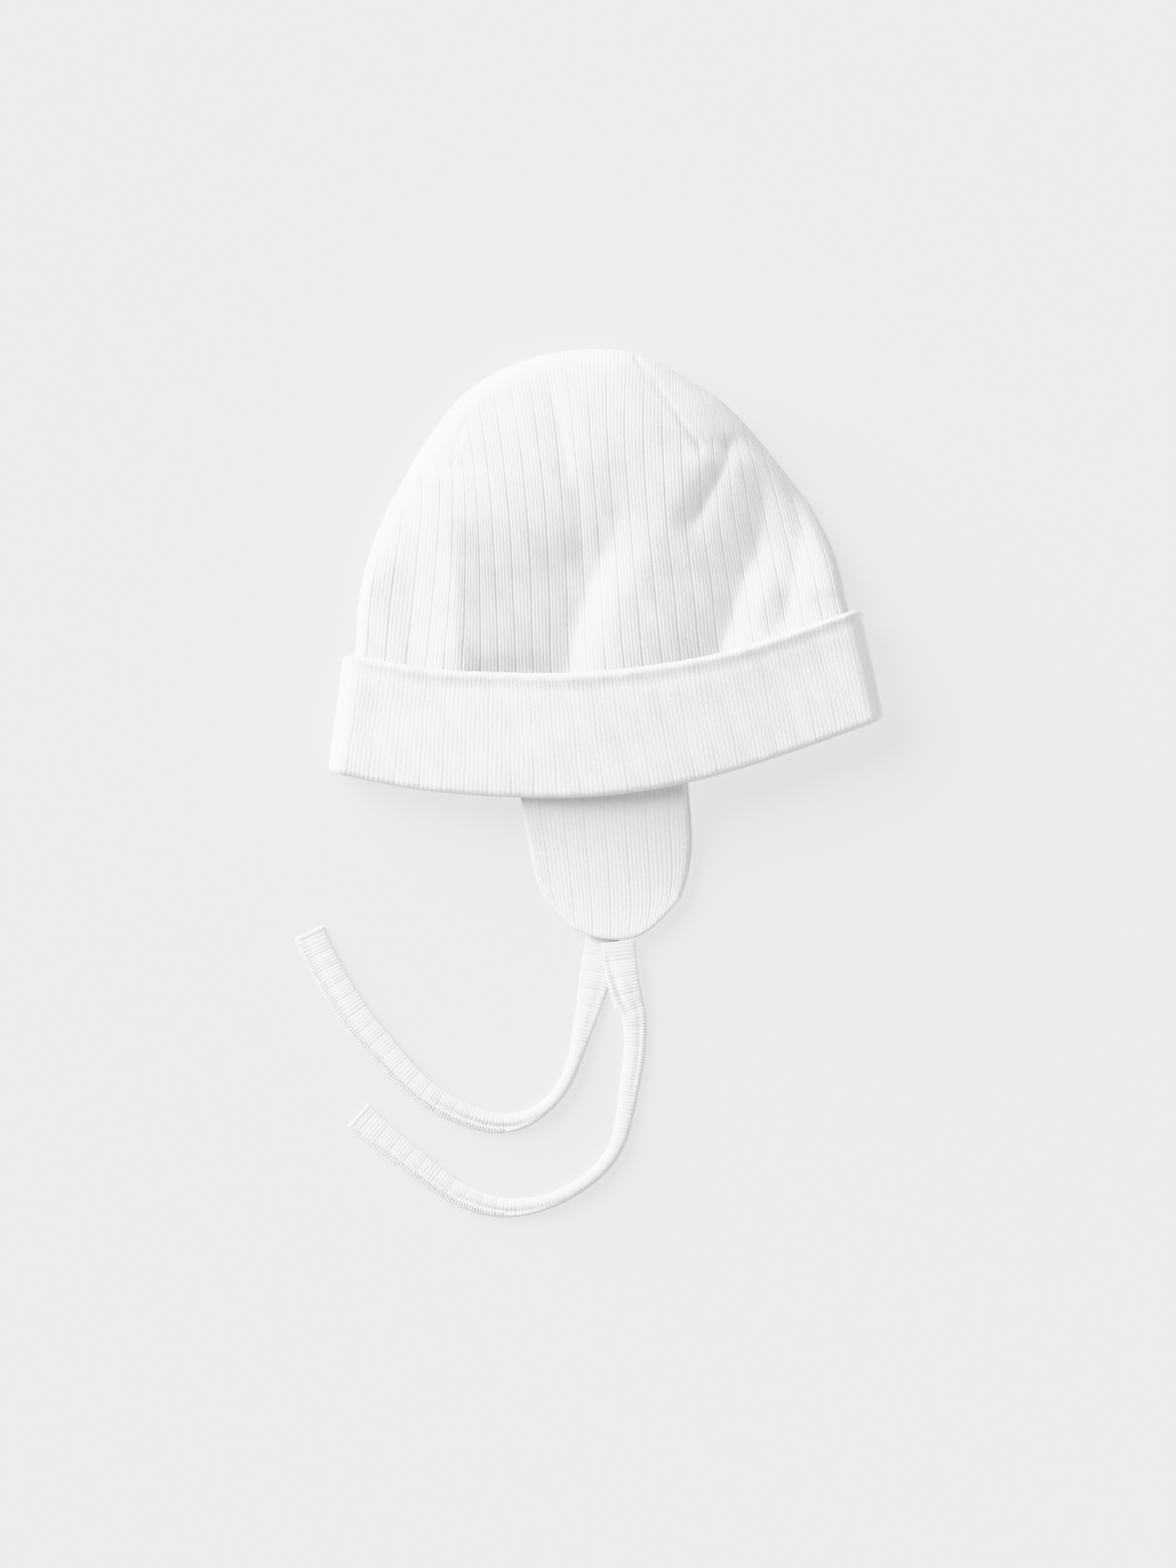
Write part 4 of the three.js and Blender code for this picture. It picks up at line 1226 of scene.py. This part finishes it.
class NIGHTCAP_OT_stage(bpy.types.Operator):
    """Make the camera above the cap, the soft light from the upper left and the pale floor"""

    bl_idname = "nightcap.stage"
    bl_label = "Stage"

    def execute(self, context):
        colours = context.scene.nightcap_colours
        camera = bpy.data.cameras.new("camera")
        camera.lens = 135.0
        camera.sensor_width = 36.0
        camera.clip_end = 50.0
        view = bpy.data.objects.new("camera", camera)
        distance = PICTURE_LONG_SIDE / 2 / (camera.sensor_width / 2 / camera.lens)
        view.location = (*PICTURE_MIDDLE, distance)
        context.scene.collection.objects.link(view)
        context.scene.camera = view
        for name, towards, strength, angle in LIGHTS:
            sun = bpy.data.lights.new(name, "SUN")
            sun.energy = strength
            sun.angle = angle
            lamp = bpy.data.objects.new(name, sun)
            lamp.rotation_mode = "QUATERNION"
            lamp.rotation_quaternion = Vector(towards).to_track_quat("Z", "Y")
            context.scene.collection.objects.link(lamp)
        world = bpy.data.worlds.new("studio")
        world.use_nodes = True
        background = world.node_tree.nodes["Background"]
        background.inputs["Color"].default_value = (1, 1, 1, 1)
        background.inputs["Strength"].default_value = STUDIO_GLOW
        context.scene.world = world
        context.scene.view_settings.view_transform = "Standard"
        context.scene.view_settings.look = "None"
        soften_highlights(context.scene.view_settings)
        size = 4.0
        below = -0.0001
        mesh = bpy.data.meshes.new("floor")
        corners = [(-size, -size, below), (size, -size, below), (size, size, below), (-size, size, below)]
        mesh.from_pydata(corners, [], [(0, 1, 2, 3)])
        paper = bpy.data.materials.new("pale paper")
        paper.use_nodes = True
        shader = paper.node_tree.nodes["Principled BSDF"]
        shader.inputs["Base Color"].default_value = (*colours.floor, 1.0)
        shader.inputs["Roughness"].default_value = 1.0
        shader.inputs["Emission Color"].default_value = (1.0, 1.0, 1.0, 1.0)
        shader.inputs["Emission Strength"].default_value = colours.floor_glow
        shader.inputs["Specular IOR Level"].default_value = 0.0
        mesh.materials.append(paper)
        floor = bpy.data.objects.new("floor", mesh)
        context.scene.collection.objects.link(floor)
        return {"FINISHED"}


class NIGHTCAP_PT_panel(bpy.types.Panel):
    """Lists the nightcap's pieces, sizes and colours"""

    bl_idname = "NIGHTCAP_PT_panel"
    bl_label = "Nightcap"
    bl_space_type = "VIEW_3D"
    bl_region_type = "UI"
    bl_category = "Nightcap"

    def draw(self, context):
        layout = self.layout
        for group in (context.scene.nightcap_sizes, context.scene.nightcap_colours):
            for name in group.__annotations__:
                layout.prop(group, name)
        for operator in OPERATORS:
            layout.operator(operator.bl_idname)


OPERATORS = (
    NIGHTCAP_OT_stage,
    NIGHTCAP_OT_ties,
    NIGHTCAP_OT_crown,
    NIGHTCAP_OT_cuff,
    NIGHTCAP_OT_ear_flaps,
)
CLASSES = (NightcapSizes, NightcapColours, *OPERATORS, NIGHTCAP_PT_panel)


def register():
    """Registers the classes and hangs the two property groups on the scene."""
    for known in CLASSES:
        bpy.utils.register_class(known)
    bpy.types.Scene.nightcap_sizes = PointerProperty(type=NightcapSizes)
    bpy.types.Scene.nightcap_colours = PointerProperty(type=NightcapColours)


def unregister():
    """Takes the property groups off the scene and unregisters the classes."""
    del bpy.types.Scene.nightcap_colours
    del bpy.types.Scene.nightcap_sizes
    for known in reversed(CLASSES):
        bpy.utils.unregister_class(known)


def main():
    """Registers the classes and makes the stage and every piece."""
    register()
    bpy.ops.nightcap.stage()
    bpy.ops.nightcap.ties()
    bpy.ops.nightcap.crown()
    bpy.ops.nightcap.cuff()
    bpy.ops.nightcap.ear_flaps()


if __name__ == "__main__":
    main()
